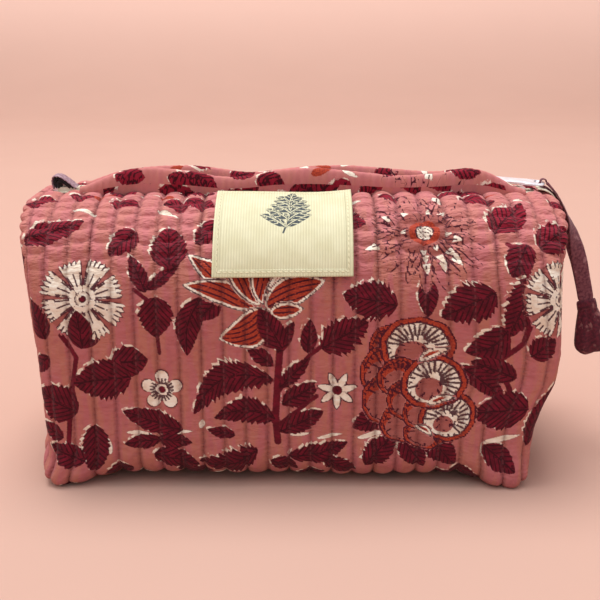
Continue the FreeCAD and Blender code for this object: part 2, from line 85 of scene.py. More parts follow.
TAB_TIP = (0.119146, 0.0, 0.128325)
FRONT_ROUTE = [
    (TAB_TIP[0] + 0.00155, -0.00055, TAB_TIP[2] + 0.0004),
    (TAB_TIP[0] + 0.0036, -0.00055, TAB_TIP[2] - 0.0016),
    (0.1262, -0.00055, 0.1229),
    (0.1316, -0.00055, 0.1136),
    (0.1363, -0.00055, 0.1018),
    (0.1403, -0.00055, 0.0870),
    (0.1441, -0.00055, 0.0710),
]
REAR_ROUTE = [
    (TAB_TIP[0] - 0.00155, 0.00055, TAB_TIP[2] + 0.0004),
    (TAB_TIP[0] - 0.00155, 0.00055, TAB_TIP[2] - 0.0014),
    (TAB_TIP[0] + 0.0022, 0.00055, TAB_TIP[2] - 0.0019),
    (0.1272, 0.00055, 0.1195),
    (0.1296, 0.00055, 0.1120),
    (0.1349, 0.00055, 0.1008),
    (0.1403, 0.00055, 0.0870),
    (0.1441, 0.00055, 0.0710),
]


def route_line(name, points):
    """Points along one smooth NURBS line with these control points."""
    data = bpy.data.curves.new(name, "CURVE")
    data.dimensions = "3D"
    spline = data.splines.new("NURBS")
    spline.points.add(len(points) - 1)
    for point, place in zip(spline.points, points):
        point.co = (*place, 1.0)
    spline.order_u = 3
    spline.use_endpoint_u = True
    spline.resolution_u = 10
    holder = bpy.data.objects.new(name, data)
    mesh = bpy.data.meshes.new_from_object(holder)
    line = np.array([vertex.co for vertex in mesh.vertices], float)
    bpy.data.objects.remove(holder)
    return line * 1000.0


# ---------------------------------------------------------------- small numeric helpers


def ramp(value, low, high):
    """Smooth step from 0 at low to 1 at high."""
    t = np.clip((value - low) / (high - low), 0.0, 1.0)
    return t * t * (3.0 - 2.0 * t)


def chance(index, seed=0.0):
    """Repeatable number from 0 to 1 for each whole index."""
    raw = np.sin(np.asarray(index, float) * 127.1 + seed * 311.7 + 0.5) * 43758.5453
    return raw - np.floor(raw)


def drift(u, w, size, seed=0.0):
    """Slow smooth variation from -1 to 1 over the cloth, about size millimetres across."""
    a, b = u / size, w / size
    total = np.sin(TAU * (a * 0.93 + b * 0.31) + seed * 2.1)
    total = total + np.sin(TAU * (a * 0.47 - b * 0.83) + seed * 4.7 + 1.3)
    total = total + np.sin(TAU * (a * 1.31 + b * 0.67) + seed * 1.7 + 2.9) * 0.7
    total = total + np.sin(TAU * (-a * 0.71 + b * 1.43) + seed * 3.3 + 0.4) * 0.6
    return total / 3.3


def spaced(keys, step):
    """Values from the first key to the last, through every key, at most step apart."""
    values = [keys[0]]
    for start, end in zip(keys, keys[1:]):
        count = max(1, int(math.ceil(abs(end - start) / step)))
        values.extend(start + (end - start) * (i + 1) / count for i in range(count))
    return np.array(values)


# ---------------------------------------------------------------- block print

TILE_U = 256.0
TILE_W = 150.0
FAR = 50.0
BLOCKS = ("maroon", "halo", "cream", "rust", "dusk", "ink")


class Print:
    """Signed distances, in millimetres, to the edges of each colour block, at given places of the cloth."""

    def __init__(self, u, w):
        self.u = np.asarray(u, float)
        self.w = np.asarray(w, float)
        for block in BLOCKS:
            setattr(self, block, np.full(self.u.shape, FAR))

    def local(self, u0, w0, turn=0.0):
        """Offsets from a place, across the repeat of the print."""
        du = (self.u - u0 + TILE_U / 2) % TILE_U - TILE_U / 2
        dw = (self.w - w0 + TILE_W / 2) % TILE_W - TILE_W / 2
        c, s = math.cos(turn), math.sin(turn)
        return du * c + dw * s, -du * s + dw * c

    def polar(self, u0, w0, turn=0.0):
        """Offsets from a place, with the distance and the angle."""
        x, y = self.local(u0, w0, turn)
        return x, y, np.hypot(x, y), np.arctan2(y, x)

    def between(self, u0, w0, u1, w1):
        """Length of a line from one place to another, and offsets along and across it."""
        x, y = self.local(u0, w0, math.atan2(w1 - w0, u1 - u0))
        return math.hypot(u1 - u0, w1 - w0), x, y

    def blade(self, u0, w0, u1, w1, half, teeth=0.0, bend=0.0):
        """Signed distance to a pointed blade from a base to a tip, with offsets along and across it."""
        long, x, y = self.between(u0, w0, u1, w1)
        t = np.clip(x / long, 0.0, 1.0)
        y = y - bend * np.sin(math.pi * t)
        run = x / 2.6 + 0.3 * np.sin(x * 0.55 + u0)
        lively = teeth * (0.45 + 1.1 * chance(np.floor(run) + np.sign(y) * 7.0, u0 * 0.1))
        wide = half * np.sin(math.pi * t**0.8) ** 0.75 * (1.0 + lively * (run % 1.0 - 0.6))
        edge = np.maximum(np.abs(y) - wide, np.maximum(-x, x - long))
        return edge, x, y

    def leaf(self, u0, w0, u1, w1, half, teeth=0.22, bend=0.0, halo=1.0):
        half = half * 1.14
        edge, x, y = self.blade(u0, w0, u1, w1, half, teeth, bend)
        inside = edge < 0.4
        veins = np.sin(TAU * (x - np.abs(y) * 1.1) / 5.4) * 0.75
        rib = np.where(np.abs(y) < 0.7, y, veins)
        self.ink = np.where(inside, rib, self.ink)
        self.maroon = np.minimum(self.maroon, edge)
        self.cream = np.where(inside, np.maximum(self.cream, -edge), self.cream)
        if halo:
            kept = (self.u, self.w)
            self.u, self.w = self.u + 0.9 * halo, self.w - 1.0 * halo
            shifted = self.blade(u0, w0, u1, w1, half * 1.02, teeth, bend)[0]
            self.u, self.w = kept
            self.halo = np.minimum(self.halo, shifted)

    def stem(self, places, half=0.9):
        for (u0, w0), (u1, w1) in zip(places, places[1:]):
            long, x, y = self.between(u0, w0, u1, w1)
            past = np.maximum(np.maximum(-x, x - long), 0.0)
            self.maroon = np.minimum(self.maroon, np.hypot(past, y) - half)

    def paint(self, inside, **new):
        """Cover whatever was there with new blocks."""
        for block in BLOCKS:
            setattr(self, block, np.where(inside, new.get(block, FAR), getattr(self, block)))

    def fringed(self, u0, w0, radius, turn=0.0, petals=8):
        """Cream flower with fan petals, ragged outer edges and dark strokes."""
        _, _, r, angle = self.polar(u0, w0, turn)
        step = TAU / petals
        k = np.round(angle / step)
        off = angle - k * step
        reach = radius * (0.9 + 0.12 * chance(k, 3.0 + u0))
        ragged = reach - radius * 0.10 * np.abs(np.sin(angle * petals * 3.0)) ** 0.7
        wide = 0.5 + 0.30 * r * (0.86 + 0.14 * chance(k, 7.0))
        fan = np.maximum(np.abs(off) * r - wide, np.maximum(r - ragged, radius * 0.16 - r))
        eye = r - radius * 0.17
        strokes = r * np.sin(angle * petals * 3.0 + 1.0) / (petals * 3.0)
        outer = (r > radius * 0.74) & (r < radius * 0.97)
        inner = (r > radius * 0.28) & (r < radius * 0.62)
        lines = np.where(outer, strokes, FAR)
        lines = np.where(inner, r * np.sin(angle * petals * 1.5) / (petals * 1.5), lines)
        lines = np.where(fan > -0.2, fan, lines)
        lines = np.where(eye < 0.5, np.where(eye > -0.5, eye, r - 1.3), lines)
        self.paint(
            (fan < 0.6) | (r < radius * 0.9),
            cream=np.minimum(fan, eye),
            dusk=r - radius * 0.86,
            ink=lines,
        )
        self.maroon = np.where(r < 2.5, r - 1.2, self.maroon)

    def rounded(self, u0, w0, radius, petals=5, turn=0.3):
        """Small cream flower with round petals and a dark eye."""
        _, _, r, angle = self.polar(u0, w0, turn)
        lobe = np.abs(np.cos(angle * petals / 2.0)) ** 0.45
        edge = r - radius * (0.2 + 0.8 * lobe)
        strokes = r * np.sin(angle * petals * 2.0) / (petals * 2.0)
        lines = np.where((r > radius * 0.25) & (r < radius * 0.62), strokes, FAR)
        lines = np.where(edge > -0.6, edge, lines)
        self.paint(edge < 1.2, cream=edge, dusk=edge - 1.6, ink=lines)
        self.maroon = np.where(r < 3.5, r - radius * 0.17, self.maroon)

    def star(self, u0, w0, radius, petals=7, turn=0.2):
        """Small flower with narrow pointed cream petals and a dark eye."""
        _, _, r, angle = self.polar(u0, w0, turn)
        step = TAU / petals
        off = angle - np.round(angle / step) * step
        along = np.clip(r / radius, 0.0, 1.0)
        wide = radius * 0.19 * np.sin(math.pi * along**1.1) ** 0.7
        edge = np.maximum(np.abs(np.sin(off)) * r - wide, r - radius)
        self.paint(edge < 0.9, cream=edge, ink=np.where(edge > -0.7, edge, FAR))
        self.maroon = np.where(r < 4.0, r - radius * 0.24, self.maroon)

    def dahlia(self, u0, w0, radius):
        """Ground-coloured flower of many pointed petals drawn in ink, round an orange ring."""
        x, y, r, angle = self.polar(u0, w0)
        lines = np.full(r.shape, FAR)
        tips = np.full(r.shape, FAR)
        covered = r < radius * 0.4
        for layer, (share, petals) in enumerate(((1.0, 20), (0.80, 18), (0.60, 15), (0.42, 12))):
            step = TAU / petals
            place = angle / step + layer * 0.37
            k = np.round(place)
            lot = k % petals
            bow = 1.6 * (chance(lot, layer) - 0.5) * np.sin(r * 0.3)
            off = (place - k) * step * r + bow
            reach = radius * share * (0.82 + 0.18 * chance(lot, layer + 2.0))
            along = np.clip(r / reach, 0.0, 1.0)
            wide = 0.31 * step * reach * np.sin(math.pi * along**1.5) ** 0.7
            edge = np.maximum(np.abs(off) - wide, r - reach)
            rib = np.where((along > 0.5) & (along < 0.86) & (chance(lot, layer + 5.0) > 0.3), off + 0.2, FAR)
            lines = np.where(edge < 0.35, np.where(edge > -0.45, edge, rib), lines)
            undyed = np.where(chance(lot, layer + 7.0) > 0.74, 0.0, FAR)
            pale = np.maximum(edge + 0.3, reach * 0.74 - r) + undyed
            tips = np.where(edge < 0.0, pale, tips)
            covered = covered | (edge < 0.35)
        ring = np.abs(r - 4.9) - 1.3
        eye = r - 3.6
        dots = np.sin(x * 3.4) * np.sin(y * 3.4 + 0.8) * 1.2 - 0.55
        lines = np.where(r < 6.4, np.where(np.abs(eye) < 0.5, eye, FAR), lines)
        lines = np.where(eye < -0.6, -dots, lines)
        self.paint(
            covered,
            cream=np.where(r < 4.2, eye, tips),
            rust=ring,
            dusk=r - radius * 0.42,
            ink=lines,
        )

    def scallop(self, u0, w0, radius, band=2.4, heart=0.55, spokes=26, pale=True):
        """Round petal: rust rim, cream band with dark strokes, dusky heart."""
        x, y, r, angle = self.polar(u0, w0)
        r = r * (1.0 + 0.016 * np.sin(angle * 9.0 + u0) + 0.03 * np.sin(angle * 3.0 + w0))
        edge = r - radius
        rim = np.abs(r - (radius - band / 2)) - band / 2
        deep = np.hypot(x + radius * 0.12, y + radius * 0.24) - radius * heart
        strokes = r * np.sin(angle * spokes / 2.0) / (spokes / 2.0)
        lot = np.round(angle * spokes / TAU)
        inner = radius * (0.34 * chance(lot, u0) - 0.12)
        lines = np.where((r < radius - band * 0.6) & (deep > inner), strokes * 0.75, FAR)
        lines = np.where(np.abs(r - (radius - band)) < 0.5, r - (radius - band), lines)
        near = (deep < -0.4) & (deep > -radius * (0.10 + 0.22 * chance(lot, w0)))
        lines = np.where(near & (lot % 2 == 0), strokes * 0.8, lines)
        lines = np.where(np.abs(edge) < 0.8, edge * 0.7, lines)
        cream = np.maximum(r - (radius - band), -deep) if pale else FAR
        rust = rim if pale else np.maximum(edge, -deep)
        self.paint(edge < 0.5, cream=cream, rust=rust, dusk=deep, ink=lines)

    def petal(self, u0, w0, u1, w1, half, bend=0.0):
        """Rust petal with a cream border and ink veins."""
        edge, x, y = self.blade(u0, w0, u1, w1, half, 0.0, bend)
        veins = np.sin(TAU * (y + x * 0.12) / 4.4) * 0.7
        lines = np.where(edge < -1.0, veins, np.where(edge > -0.5, edge, FAR))
        self.paint(edge < 0.9, cream=edge - 0.4, rust=edge + 1.1, ink=lines)


def print_fields(u, w):
    """Every block of one repeat of the print."""
    p = Print(u, w)
    # stems and leaves
    for half, *places in (
        (1.5, (-5, 20), (-6, 34), (-5, 52), (-4, 66), (-8, 80)), (0.9, (-5, 30), (12, 44)),
        (0.9, (-5, 46), (8, 62), (16, 69)), (0.9, (-5, 33), (-20, 40)),
        (1.0, (-98, 20), (-96, 40), (-92, 62), (-98, 72)),
        (0.8, (-66, 92), (-58, 86), (-57, 76), (-56, 64)),
        (1.1, (84, 60), (94, 68), (100, 84), (97, 104), (90, 112)),
        (1.0, (96, 30), (92, 44), (84, 58)), (1.2, (57, 98), (59, 86)),
    ):
        p.stem(places, half)
    for places in (
        (-116, 114, -89, 124, 5.5), (-118, 139, -104, 144, 4.0), (-66, 119, -77, 107, 5.0),
        (-51, 101, -52, 121, 7.0), (-61, 91, -68, 107, 3.2), (-60, 92, -47, 103, 2.4),
        (-57, 89, -57, 71, 6.5), (-37, 89, -44, 63, 5.0, 0.1, -3.0), (-30, 88, -39, 79, 4.2, 0.1),
        (-77, 59, -61, 61, 6.5), (-69, 53, -94, 50, 8.2), (-93, 36, -111, 46, 8.0),
        (-47, 27, -73, 37, 5.2), (-57, 22, -73, 19, 3.6, 0.2), (-58, 22, -43, 20, 4.0, 0.2),
        (-60, 14, -40, 8, 5.0), (-86, 30, -85, 6, 5.4), (-90, 13, -107, 20, 4.4),
        (-88, 66, -86, 80, 5.0, 0.0), (-105, 70, -112, 88, 4.5, 0.1), (-104, 62, -114, 54, 3.4),
        (-100, 24, -112, 30, 3.6), (-14, 16, -40, 10, 6.4, 0.5, 5.0), (-7, 52, -42, 36, 6.6, 0.4, -9.0),
        (-6, 33, -33, 34, 5.4, 0.3, -4.0), (-7, 58, -19, 68, 3.0), (-5, 64, 2, 78, 2.6, 0.1),
        (-6, 66, -12, 82, 5.0, 0.0), (-3, 40, 13, 50, 4.2), (-4, 26, 15, 37, 4.6),
        (-4, 48, 9, 62, 3.0), (8, 64, 9, 79, 3.2, 0.1), (14, 66, 34, 78, 7.0, 0.45),
        (46, 85, 23, 90, 7.6, 0.4), (84, 91, 63, 80, 7.6, 0.35), (101, 98, 88, 71, 6.4, 0.3),
        (58, 97, 58, 80, 3.4, 0.1), (88, 74, 72, 64, 6.0, 0.1, 3.0), (92, 52, 74, 60, 4.4, 0.1),
        (70, 58, 90, 42, 3.4, 0.1), (102, 38, 79, 36, 7.8), (43, 36, 28, 28, 5.4),
        (0, 12, 26, 20, 4.6, 0.3, -2.0), (34, 8, 47, 25, 5.4), (50, 22, 60, 7, 5.0),
        (62, 22, 74, 8, 5.4), (85, 118, 99, 136, 7.0), (74, 143, 88, 138, 4.2),
        (103, 110, 119, 122, 7.0), (98, 112, 91, 97, 5.4, 0.2), (106, 20, 112, 52, 4.4),
        (20, 130, 33, 122, 4.6), (-15, 139, -2, 133, 4.4), (40, 146, 52, 141, 3.8),
        (-46, 141, -33, 134, 4.6), (-80, 141, -66, 136, 4.4), (-30, 124, -40, 112, 4.6),
        (112, 142, 124, 136, 4.0), (86, 20, 100, 10, 5.0), (-24, 24, -36, 28, 3.0),
        (-28, 146, -16, 141, 4.0), (64, 147, 76, 151, 3.6), (-100, 150, -88, 145, 3.8),
        (4, 147, 16, 151, 3.6), (-124, 98, -118, 112, 4.6), (-122, 72, -126, 58, 4.6),
        (-120, 40, -126, 26, 4.6), (124, 60, 118, 46, 4.6), (-8, 10, 4, 4, 4.2), (-70, 6, -82, 1, 4.2),
        (16, 10, 30, 3, 4.4), (72, 4, 86, 1, 4.4), (-50, 3, -34, 1, 4.2),
        (97, 62, 108, 70, 5.0), (-44, 134, -56, 138, 4.2), (28, 136, 18, 128, 3.8),
    ):
        p.leaf(*places)
    # cream dabs beside the lowest leaves and along the top
    for dab in (
        (-82, 24, -79, 14, 2.0), (-72, 26, -60, 25, 1.3), (-56, 25, -42, 27, 1.3), (-38, 33, -39, 28, 1.4),
        (0, 24, 10, 25, 1.1), (12, 22, 24, 25, 1.1), (30, 22, 44, 27, 1.5), (31, 12, 40, 15, 1.5),
        (62, 20, 65, 11, 1.4), (86, 22, 102, 26, 1.4), (-68, 150, -58, 146, 1.6), (-96, 134, -84, 129, 1.3),
        (-58, 132, -48, 126, 1.4), (0, 146, 10, 141, 1.5), (66, 150, 78, 147, 1.5), (96, 142, 104, 138, 1.3),
        (24, 142, 32, 138, 1.3), (-34, 150, -24, 146, 1.4), (-92, 20, -86, 8, 1.2), (20, 8, 30, 5, 1.2),
    ):
        p.cream = np.minimum(p.cream, p.blade(*dab)[0])
    for dab in (
        (-90, 146, -76, 149, 2.4), (84, 148, 96, 147, 2.4), (10, 138, 20, 143, 2.2),
        (-58, 146, -50, 142, 2.0),
    ):
        p.rust = np.minimum(p.rust, p.blade(*dab)[0])
    # flowers
    for places in (
        (-12, 84, -43, 107, 6.0), (-12, 84, -45, 94, 5.2, -2.0), (-12, 86, -28, 112, 6.0),
        (-11, 86, -8, 114, 6.5), (-10, 85, 12, 108, 6.0), (-10, 84, 15, 96, 6.4, 2.0),
        (-8, 82, 6, 84, 3.6), (-10, 83, -30, 70, 7.6, 4.0),
    ):
        p.petal(*places)
    p.leaf(-3, 66, -13, 84, 4.6, 0.0)
    p.fringed(-88, 88, 19.5, 0.35)
    p.fringed(112, 87, 19.0, 0.1)
    p.leaf(-89, 66, -91, 83, 4.6, 0.0, halo=0.0)
    p.rounded(-55.5, 47, 9.2)
    p.star(21, 46.6, 9.0)
    p.dahlia(57.4, 118, 28.5)
    for loop in ((46, 66, 11.5), (42, 55, 11.5), (43, 42, 11.5), (51, 31, 11.0), (60, 26, 9.5)):
        p.scallop(*loop, 1.7, 0.66, 24, False)
    p.scallop(54, 66, 14.5, 2.6, 0.46, 30)
    for loop in ((48, 52, 9.5), (52, 42, 9.5), (58, 36, 8.5)):
        p.scallop(*loop, 1.7, 0.6, 22, False)
    p.scallop(69, 33, 12.0, 2.2, 0.36, 22)
    p.scallop(61, 50, 12.5, 2.4, 0.42, 24)
    for sliver in ((55, 60, 66, 66), (60, 40, 70, 43), (56, 29, 63, 24)):
        p.petal(*sliver, 1.8, 1.0)
    return p


# ---------------------------------------------------------------- form of the bag

DEPTH = 57.0
TOP = 125.5
SHOULDER = 42.0
SPRING = TOP - SHOULDER
LOW_ROUND = 12.0
END_ROUND = 9.0
LEAN = math.radians(68.0)
PITCH = 9.5
FLAP_U = 85.5
FLAT_U = 92.0
MIDDLE_U = 38.0
FOLD_W = 80.0
BINDING_Y = 9.6
SLOT_Y = 4.6
SLOT_U = 110.0
LOWEST = 0.05
# how far the right end swells out, at heights up it
RIGHT_BELLY = ([0, 18, 29, 38, 48, 60, 78, 98], [0.0, 0.0, 0.4, 2.6, 6.6, 8.0, 6.2, 3.8])

B_FLAT = DEPTH - LOW_ROUND
B_LOW = B_FLAT + LOW_ROUND * math.pi / 2
B_SPRING = B_LOW + SPRING - LOW_ROUND
B_CROWN = B_SPRING + SHOULDER * math.pi / 2
B_RIM = B_CROWN + (DEPTH - SHOULDER) - BINDING_Y
B_SLOT = B_CROWN + (DEPTH - SHOULDER) - SLOT_Y
B_TOP = B_CROWN + (DEPTH - SHOULDER)
B_FOLD = B_LOW + FOLD_W - LOW_ROUND


def section(b):
    """Place (y, z) and outward normal on the middle section.

    b runs along the section from the middle of the base, and is below zero on the front.
    """
    s = np.abs(b)
    side = np.where(b < 0, -1.0, 1.0)
    y, z = np.minimum(s, B_FLAT), np.zeros_like(s)
    ny, nz = np.zeros_like(s), -np.ones_like(s)
    turn = np.clip((s - B_FLAT) / LOW_ROUND, 0.0, math.pi / 2)
    low = s > B_FLAT
    y = np.where(low, B_FLAT + LOW_ROUND * np.sin(turn), y)
    z = np.where(low, LOW_ROUND * (1 - np.cos(turn)), z)
    ny, nz = np.where(low, np.sin(turn), ny), np.where(low, -np.cos(turn), nz)
    wall = s > B_LOW
    z = np.where(wall, LOW_ROUND + s - B_LOW, z)
    dome = s > B_SPRING
    turn = np.clip((s - B_SPRING) / SHOULDER, 0.0, math.pi / 2)
    y = np.where(dome, DEPTH - SHOULDER + SHOULDER * np.cos(turn), y)
    z = np.where(dome, SPRING + SHOULDER * np.sin(turn), z)
    ny, nz = np.where(dome, np.cos(turn), ny), np.where(dome, np.sin(turn), nz)
    flat = s > B_CROWN
    y = np.where(flat, DEPTH - SHOULDER - (s - B_CROWN), y)
    z = np.where(flat, TOP, z)
    return side * y, z, side * ny, nz


def cloth_w(b):
    """Place along the cloth: zero at the front's foot, rising up the front, and below zero over the base."""
    return -b - (B_LOW - LOW_ROUND)


def wall_half(z):
    """Half length of the upright wall at a height."""
    return 98.5 + 5.5 * np.clip(z / SPRING, 0.0, 1.0)


def face_half(b):
    """Half length of the flat face before it rolls over to the end."""
    return wall_half(section(b)[1]) + 8.0 * ramp(np.abs(b), B_SPRING, B_CROWN - 12.0)


def end_reach(z):
    """How far the middle of an end stands out at a height."""
    return 108.5 + 14.5 * np.clip(z / 108.0, 0.0, 1.1) ** 0.75


def quilt(u, w, level, lively):
    """Height of the quilting: rows of channels along w, with scalloped puckers where lively is near 1."""
    row = np.floor(u / PITCH)
    across = u / PITCH - row
    puff = np.sin(math.pi * np.clip(across, 0.0, 1.0)) ** 0.5
    shift = 4.0 * chance(row, 1.0) + 1.5 * drift(u, w, 40.0, 8.0)
    wave = (w + 3.0 * puff + shift) / 7.4
    scallop = np.abs(np.sin(math.pi * wave)) ** 0.62
    soft = 0.5 + 0.5 * drift(u * 0.4 + 90.0 * chance(row, 4.0), w, 17.0, 2.0)
    strength = 1.0 - lively * 0.92 * (1.0 - scallop) - (1.0 - lively) * 0.30 * (1.0 - soft)
    return level * (puff * strength - 0.72)


def sag(u, w):
    """Slow dents and swellings of the soft wall."""
    return 1.1 * drift(u, w, 120.0, 1.0) + 0.55 * drift(u, w, 52.0, 5.0)


def end_lean(roll, t):
    """How far the cloth has turned from the flat face towards facing the end."""
    return np.where(t > 0, np.arccos(np.clip(math.cos(LEAN) * (1.0 - t), 0.0, 1.0)), roll)


def face_points(u_face, roll, t, b, level):
    """Points of the printed face, and their places (u, w) on the cloth.

    u_face is the place along the flat face, roll the angle turned at the end, t the share of the way from
    the end of the roll to the closing seam in the middle of the end. level scales the quilting.
    """
    y, z, ny, nz = section(b)
    side = np.sign(u_face)
    half = face_half(b)
    depth = END_ROUND * (1.0 - np.cos(roll))
    out = END_ROUND * np.sin(roll)
    edge_y, edge_z = y - ny * depth, z - nz * depth
    x = np.abs(u_face) + out
    # the end, from the roll to the seam
    seam_z = np.clip(edge_z, 26.0, 98.0)
    gap = np.hypot(edge_y, edge_z - seam_z)
    steep = math.cos(LEAN)
    swell = np.sqrt(1.0 - (steep * (1.0 - t)) ** 2)
    start = math.sin(LEAN)
    rise = (swell - start) / (1.0 - start)
    total = end_reach(seam_z) - (half + END_ROUND * start)
    x = np.where(t > 0, half + END_ROUND * start + total * rise, x)
    py = edge_y * (1.0 - t)
    pz = edge_z + (seam_z - edge_z) * t
    # direction in which the cloth stands out
    lean = end_lean(roll, t)
    nx = side * np.sin(lean)
    ny, nz = ny * np.cos(lean), nz * np.cos(lean)
    # place on the cloth
    w = cloth_w(b)
    arc = END_ROUND * roll
    u_cloth = side * (np.abs(u_face) + arc)
    at_end = t > 0
    near_y = DEPTH - END_ROUND * (1.0 - steep)
    u_end = side * (wall_half(pz) + END_ROUND * LEAN + np.maximum(near_y - np.abs(py), 0.0))
    w_end = np.where(b < 0, pz, -2.0 * (B_LOW - LOW_ROUND) - pz)
    u_cloth = np.where(at_end, u_end, u_cloth)
    w_cloth = np.where(at_end, w_end, w)
    # quilting and dents
    s = np.abs(b)
    top = ramp(s, B_SPRING + 2.0, B_SPRING + 34.0)
    low = ramp(s, B_FLAT - 4.0, B_FLAT + 6.0) * (1.0 - ramp(s, B_LOW, B_LOW + 12.0))
    lively = np.where(at_end, 0.2, np.maximum(top, 0.12))
    height = 1.45 + 1.0 * top + 1.1 * low
    height = np.where(at_end, 1.15, height)
    lift = level * quilt(u_cloth, w_cloth, height, lively)
    # the boxed seam round each end, above the shoulder and below the base edge
    seam_share = np.maximum(ramp(s, B_SPRING + 4.0, B_SPRING + 30.0), 1.0 - ramp(s, B_LOW - 4.0, B_LOW + 8.0))
    ring = np.where(at_end, t * gap, (LEAN - roll) * END_ROUND * 0.9)
    groove = np.exp(-((ring / 1.5) ** 2)) * seam_share * np.where(np.abs(u_face) > half - 1e-6, 1.0, 0.0)
    closing = np.exp(-((py / 1.4) ** 2)) * at_end
    lift = lift - level * (1.1 * groove + 1.3 * closing)
    lift = lift + sag(u_cloth, w_cloth) * (1.0 - 0.7 * ramp(s, B_CROWN - 10.0, B_CROWN))
    # ears at the base corners, and a raised middle of the base
    ear = ramp(np.abs(u_face), 74.0, 97.0)
    corner = np.exp(-(((s - (B_FLAT + B_LOW) / 2) / 9.0) ** 2)) * (1.0 - t)
    middle = 1.0 - ramp(s, B_LOW + 4.0, B_LOW + 22.0)
    ear_out_y = np.where(side < 0, 3.4, 4.8)
    ear_out_x = np.where(side < 0, 4.2, 0.4)
    px = side * x + nx * lift + side * corner * ear * ear_out_x
    py = py + ny * lift + np.sign(b) * corner * (ear_out_y * ear - (1.0 - ear))
    pz = pz + nz * lift + middle * 2.4 * (1.0 - ear) - corner * (2.2 * ear - 0.8 * (1.0 - ear))
    belly = np.where(side > 0, np.interp(pz, *RIGHT_BELLY), 0.0)
    px = px + belly * ramp(np.abs(px), 40.0, 100.0)
    pz = np.maximum(pz, LOWEST)
    return np.stack([px, py, pz], -1), u_cloth, w_cloth


def layer_points(u_face, roll, t, b, inset=0.0, level=1.0):
    """Points of a layer that lies inset behind the printed face, and their places on the cloth."""
    points, u, w = face_points(u_face, roll, t, b, level)
    if inset:
        _, _, ny, nz = section(b)
        lean = end_lean(roll, t)
        normal = np.stack([np.sign(u_face) * np.sin(lean), ny * np.cos(lean), nz * np.cos(lean)], -1)
        points = points - normal * inset
    return points, u, w


class Grid:
    """The whole shell as two sheets of points: the belt round the bag, and the two ends."""

    def __init__(self, step_u, step_front, step_back, inset=0.0, level=1.0):
        keys = [B_TOP, B_SLOT, B_RIM, B_CROWN, B_SPRING, B_FOLD, B_LOW, B_FLAT, 0.0]
        front = -spaced(keys, step_front)
        rear = spaced(keys[::-1], step_back)
        b = np.concatenate([front, rear[1:]])
        rolls = spaced([0.0, LEAN], step_u / END_ROUND * 1.1)[1:]
        flat = spaced([-FLAP_U, -MIDDLE_U, 0.0, MIDDLE_U, FLAP_U], step_u)
        flat_half = spaced([FLAP_U, FLAT_U], step_u)[1:]
        stretch = spaced([0.0, 1.0], step_u / 14.0)[1:]
        outer = len(flat_half) + len(stretch) + len(rolls)
        columns = len(flat) + 2 * outer
        rows = len(b)
        half = face_half(b)[:, None]
        u = np.zeros((rows, columns))
        roll = np.zeros((rows, columns))
        u[:, outer : outer + len(flat)] = flat
        wing = np.concatenate(
            [
                np.broadcast_to(flat_half, (rows, len(flat_half))),
                FLAT_U + (half - FLAT_U) * stretch[None, :],
                np.broadcast_to(half, (rows, len(rolls))),
            ],
            axis=1,
        )
        wing_roll = np.concatenate([np.zeros(outer - len(rolls)), rolls])
        u[:, outer + len(flat) :] = wing
        u[:, :outer] = -wing[:, ::-1]
        roll[:, outer + len(flat) :] = wing_roll
        roll[:, :outer] = wing_roll[::-1]
        bb = np.broadcast_to(b[:, None], u.shape)
        self.face_u = u
        self.bb = bb
        self.belt, self.belt_u, self.belt_w = layer_points(u, roll, np.zeros_like(u), bb, inset, level)
        rings = spaced([0.0, 1.0], step_u / 42.0)
        self.ends = []
        for side in (-1.0, 1.0):
            t = np.broadcast_to(np.maximum(rings, 1e-6), (rows, len(rings)))
            ub = np.broadcast_to(side * half, t.shape)
            rb = np.full(t.shape, LEAN)
            be = np.broadcast_to(b[:, None], t.shape)
            points, cu, cw = layer_points(ub, rb, t, be, inset, level)
            points[:, 0] = self.belt[:, 0] if side < 0 else self.belt[:, -1]
            self.ends.append((points, cu, cw))


def sheet_faces(rows, columns, keep, flip):
    """Quads of a grid where keep, given per quad, is true."""
    index = np.arange(rows * columns).reshape(rows, columns)
    a, b = index[:-1, :-1], index[:-1, 1:]
    c, d = index[1:, 1:], index[1:, :-1]
    order = (a, d, c, b) if flip else (a, b, c, d)
    quads = np.stack(order, -1)[keep]
    return quads.reshape(-1, 4)


def add_field(mesh, name, values):
    """Keep a distance, in millimetres, for each point of a mesh."""
    near_values = np.clip(values, -9.0, 9.0).astype(np.float32)
    mesh.attributes.new(name, "FLOAT", "POINT").data.foreach_set("value", near_values)


def mesh_from(name, points, faces, cloth=None, printed=False):
    """Mesh object from points in millimetres.

    cloth gives their places (u, w) on the cloth in millimetres, for the weave and the print.
    """
    used = np.unique(faces)
    lookup = np.full(len(points), -1)
    lookup[used] = np.arange(len(used))
    faces = lookup[faces]
    places = points[used] / 1000.0
    mesh = bpy.data.meshes.new(name)
    mesh.from_pydata(places.tolist(), [], faces.tolist())
    mesh.validate()
    mesh.polygons.foreach_set("use_smooth", np.ones(len(mesh.polygons), bool))
    if cloth is not None:
        cu, cw = cloth[0][used], cloth[1][used]
        layer = mesh.uv_layers.new(name="cloth")
        loops = np.zeros(len(mesh.loops), int)
        mesh.loops.foreach_get("vertex_index", loops)
        layer.data.foreach_set("uv", np.stack([cu[loops], cw[loops]], -1).astype(np.float32).ravel() / 10.0)
        if printed:
            blocks = print_fields(cu, cw)
            for field in BLOCKS:
                add_field(mesh, field, getattr(blocks, field))
    mesh.update()
    return stand(name, mesh)


def sheet_mesh(name, grid, flip=False, cloth=None, printed=False):
    """Mesh object of a whole grid of points; cloth gives grids of their places (u, w)."""
    rows, columns = grid.shape[:2]
    faces = sheet_faces(rows, columns, np.ones((rows - 1, columns - 1), bool), flip)
    if cloth is not None:
        cloth = [places.ravel() for places in cloth]
    return mesh_from(name, grid.reshape(-1, 3), faces, cloth, printed)


# ---------------------------------------------------------------- materials


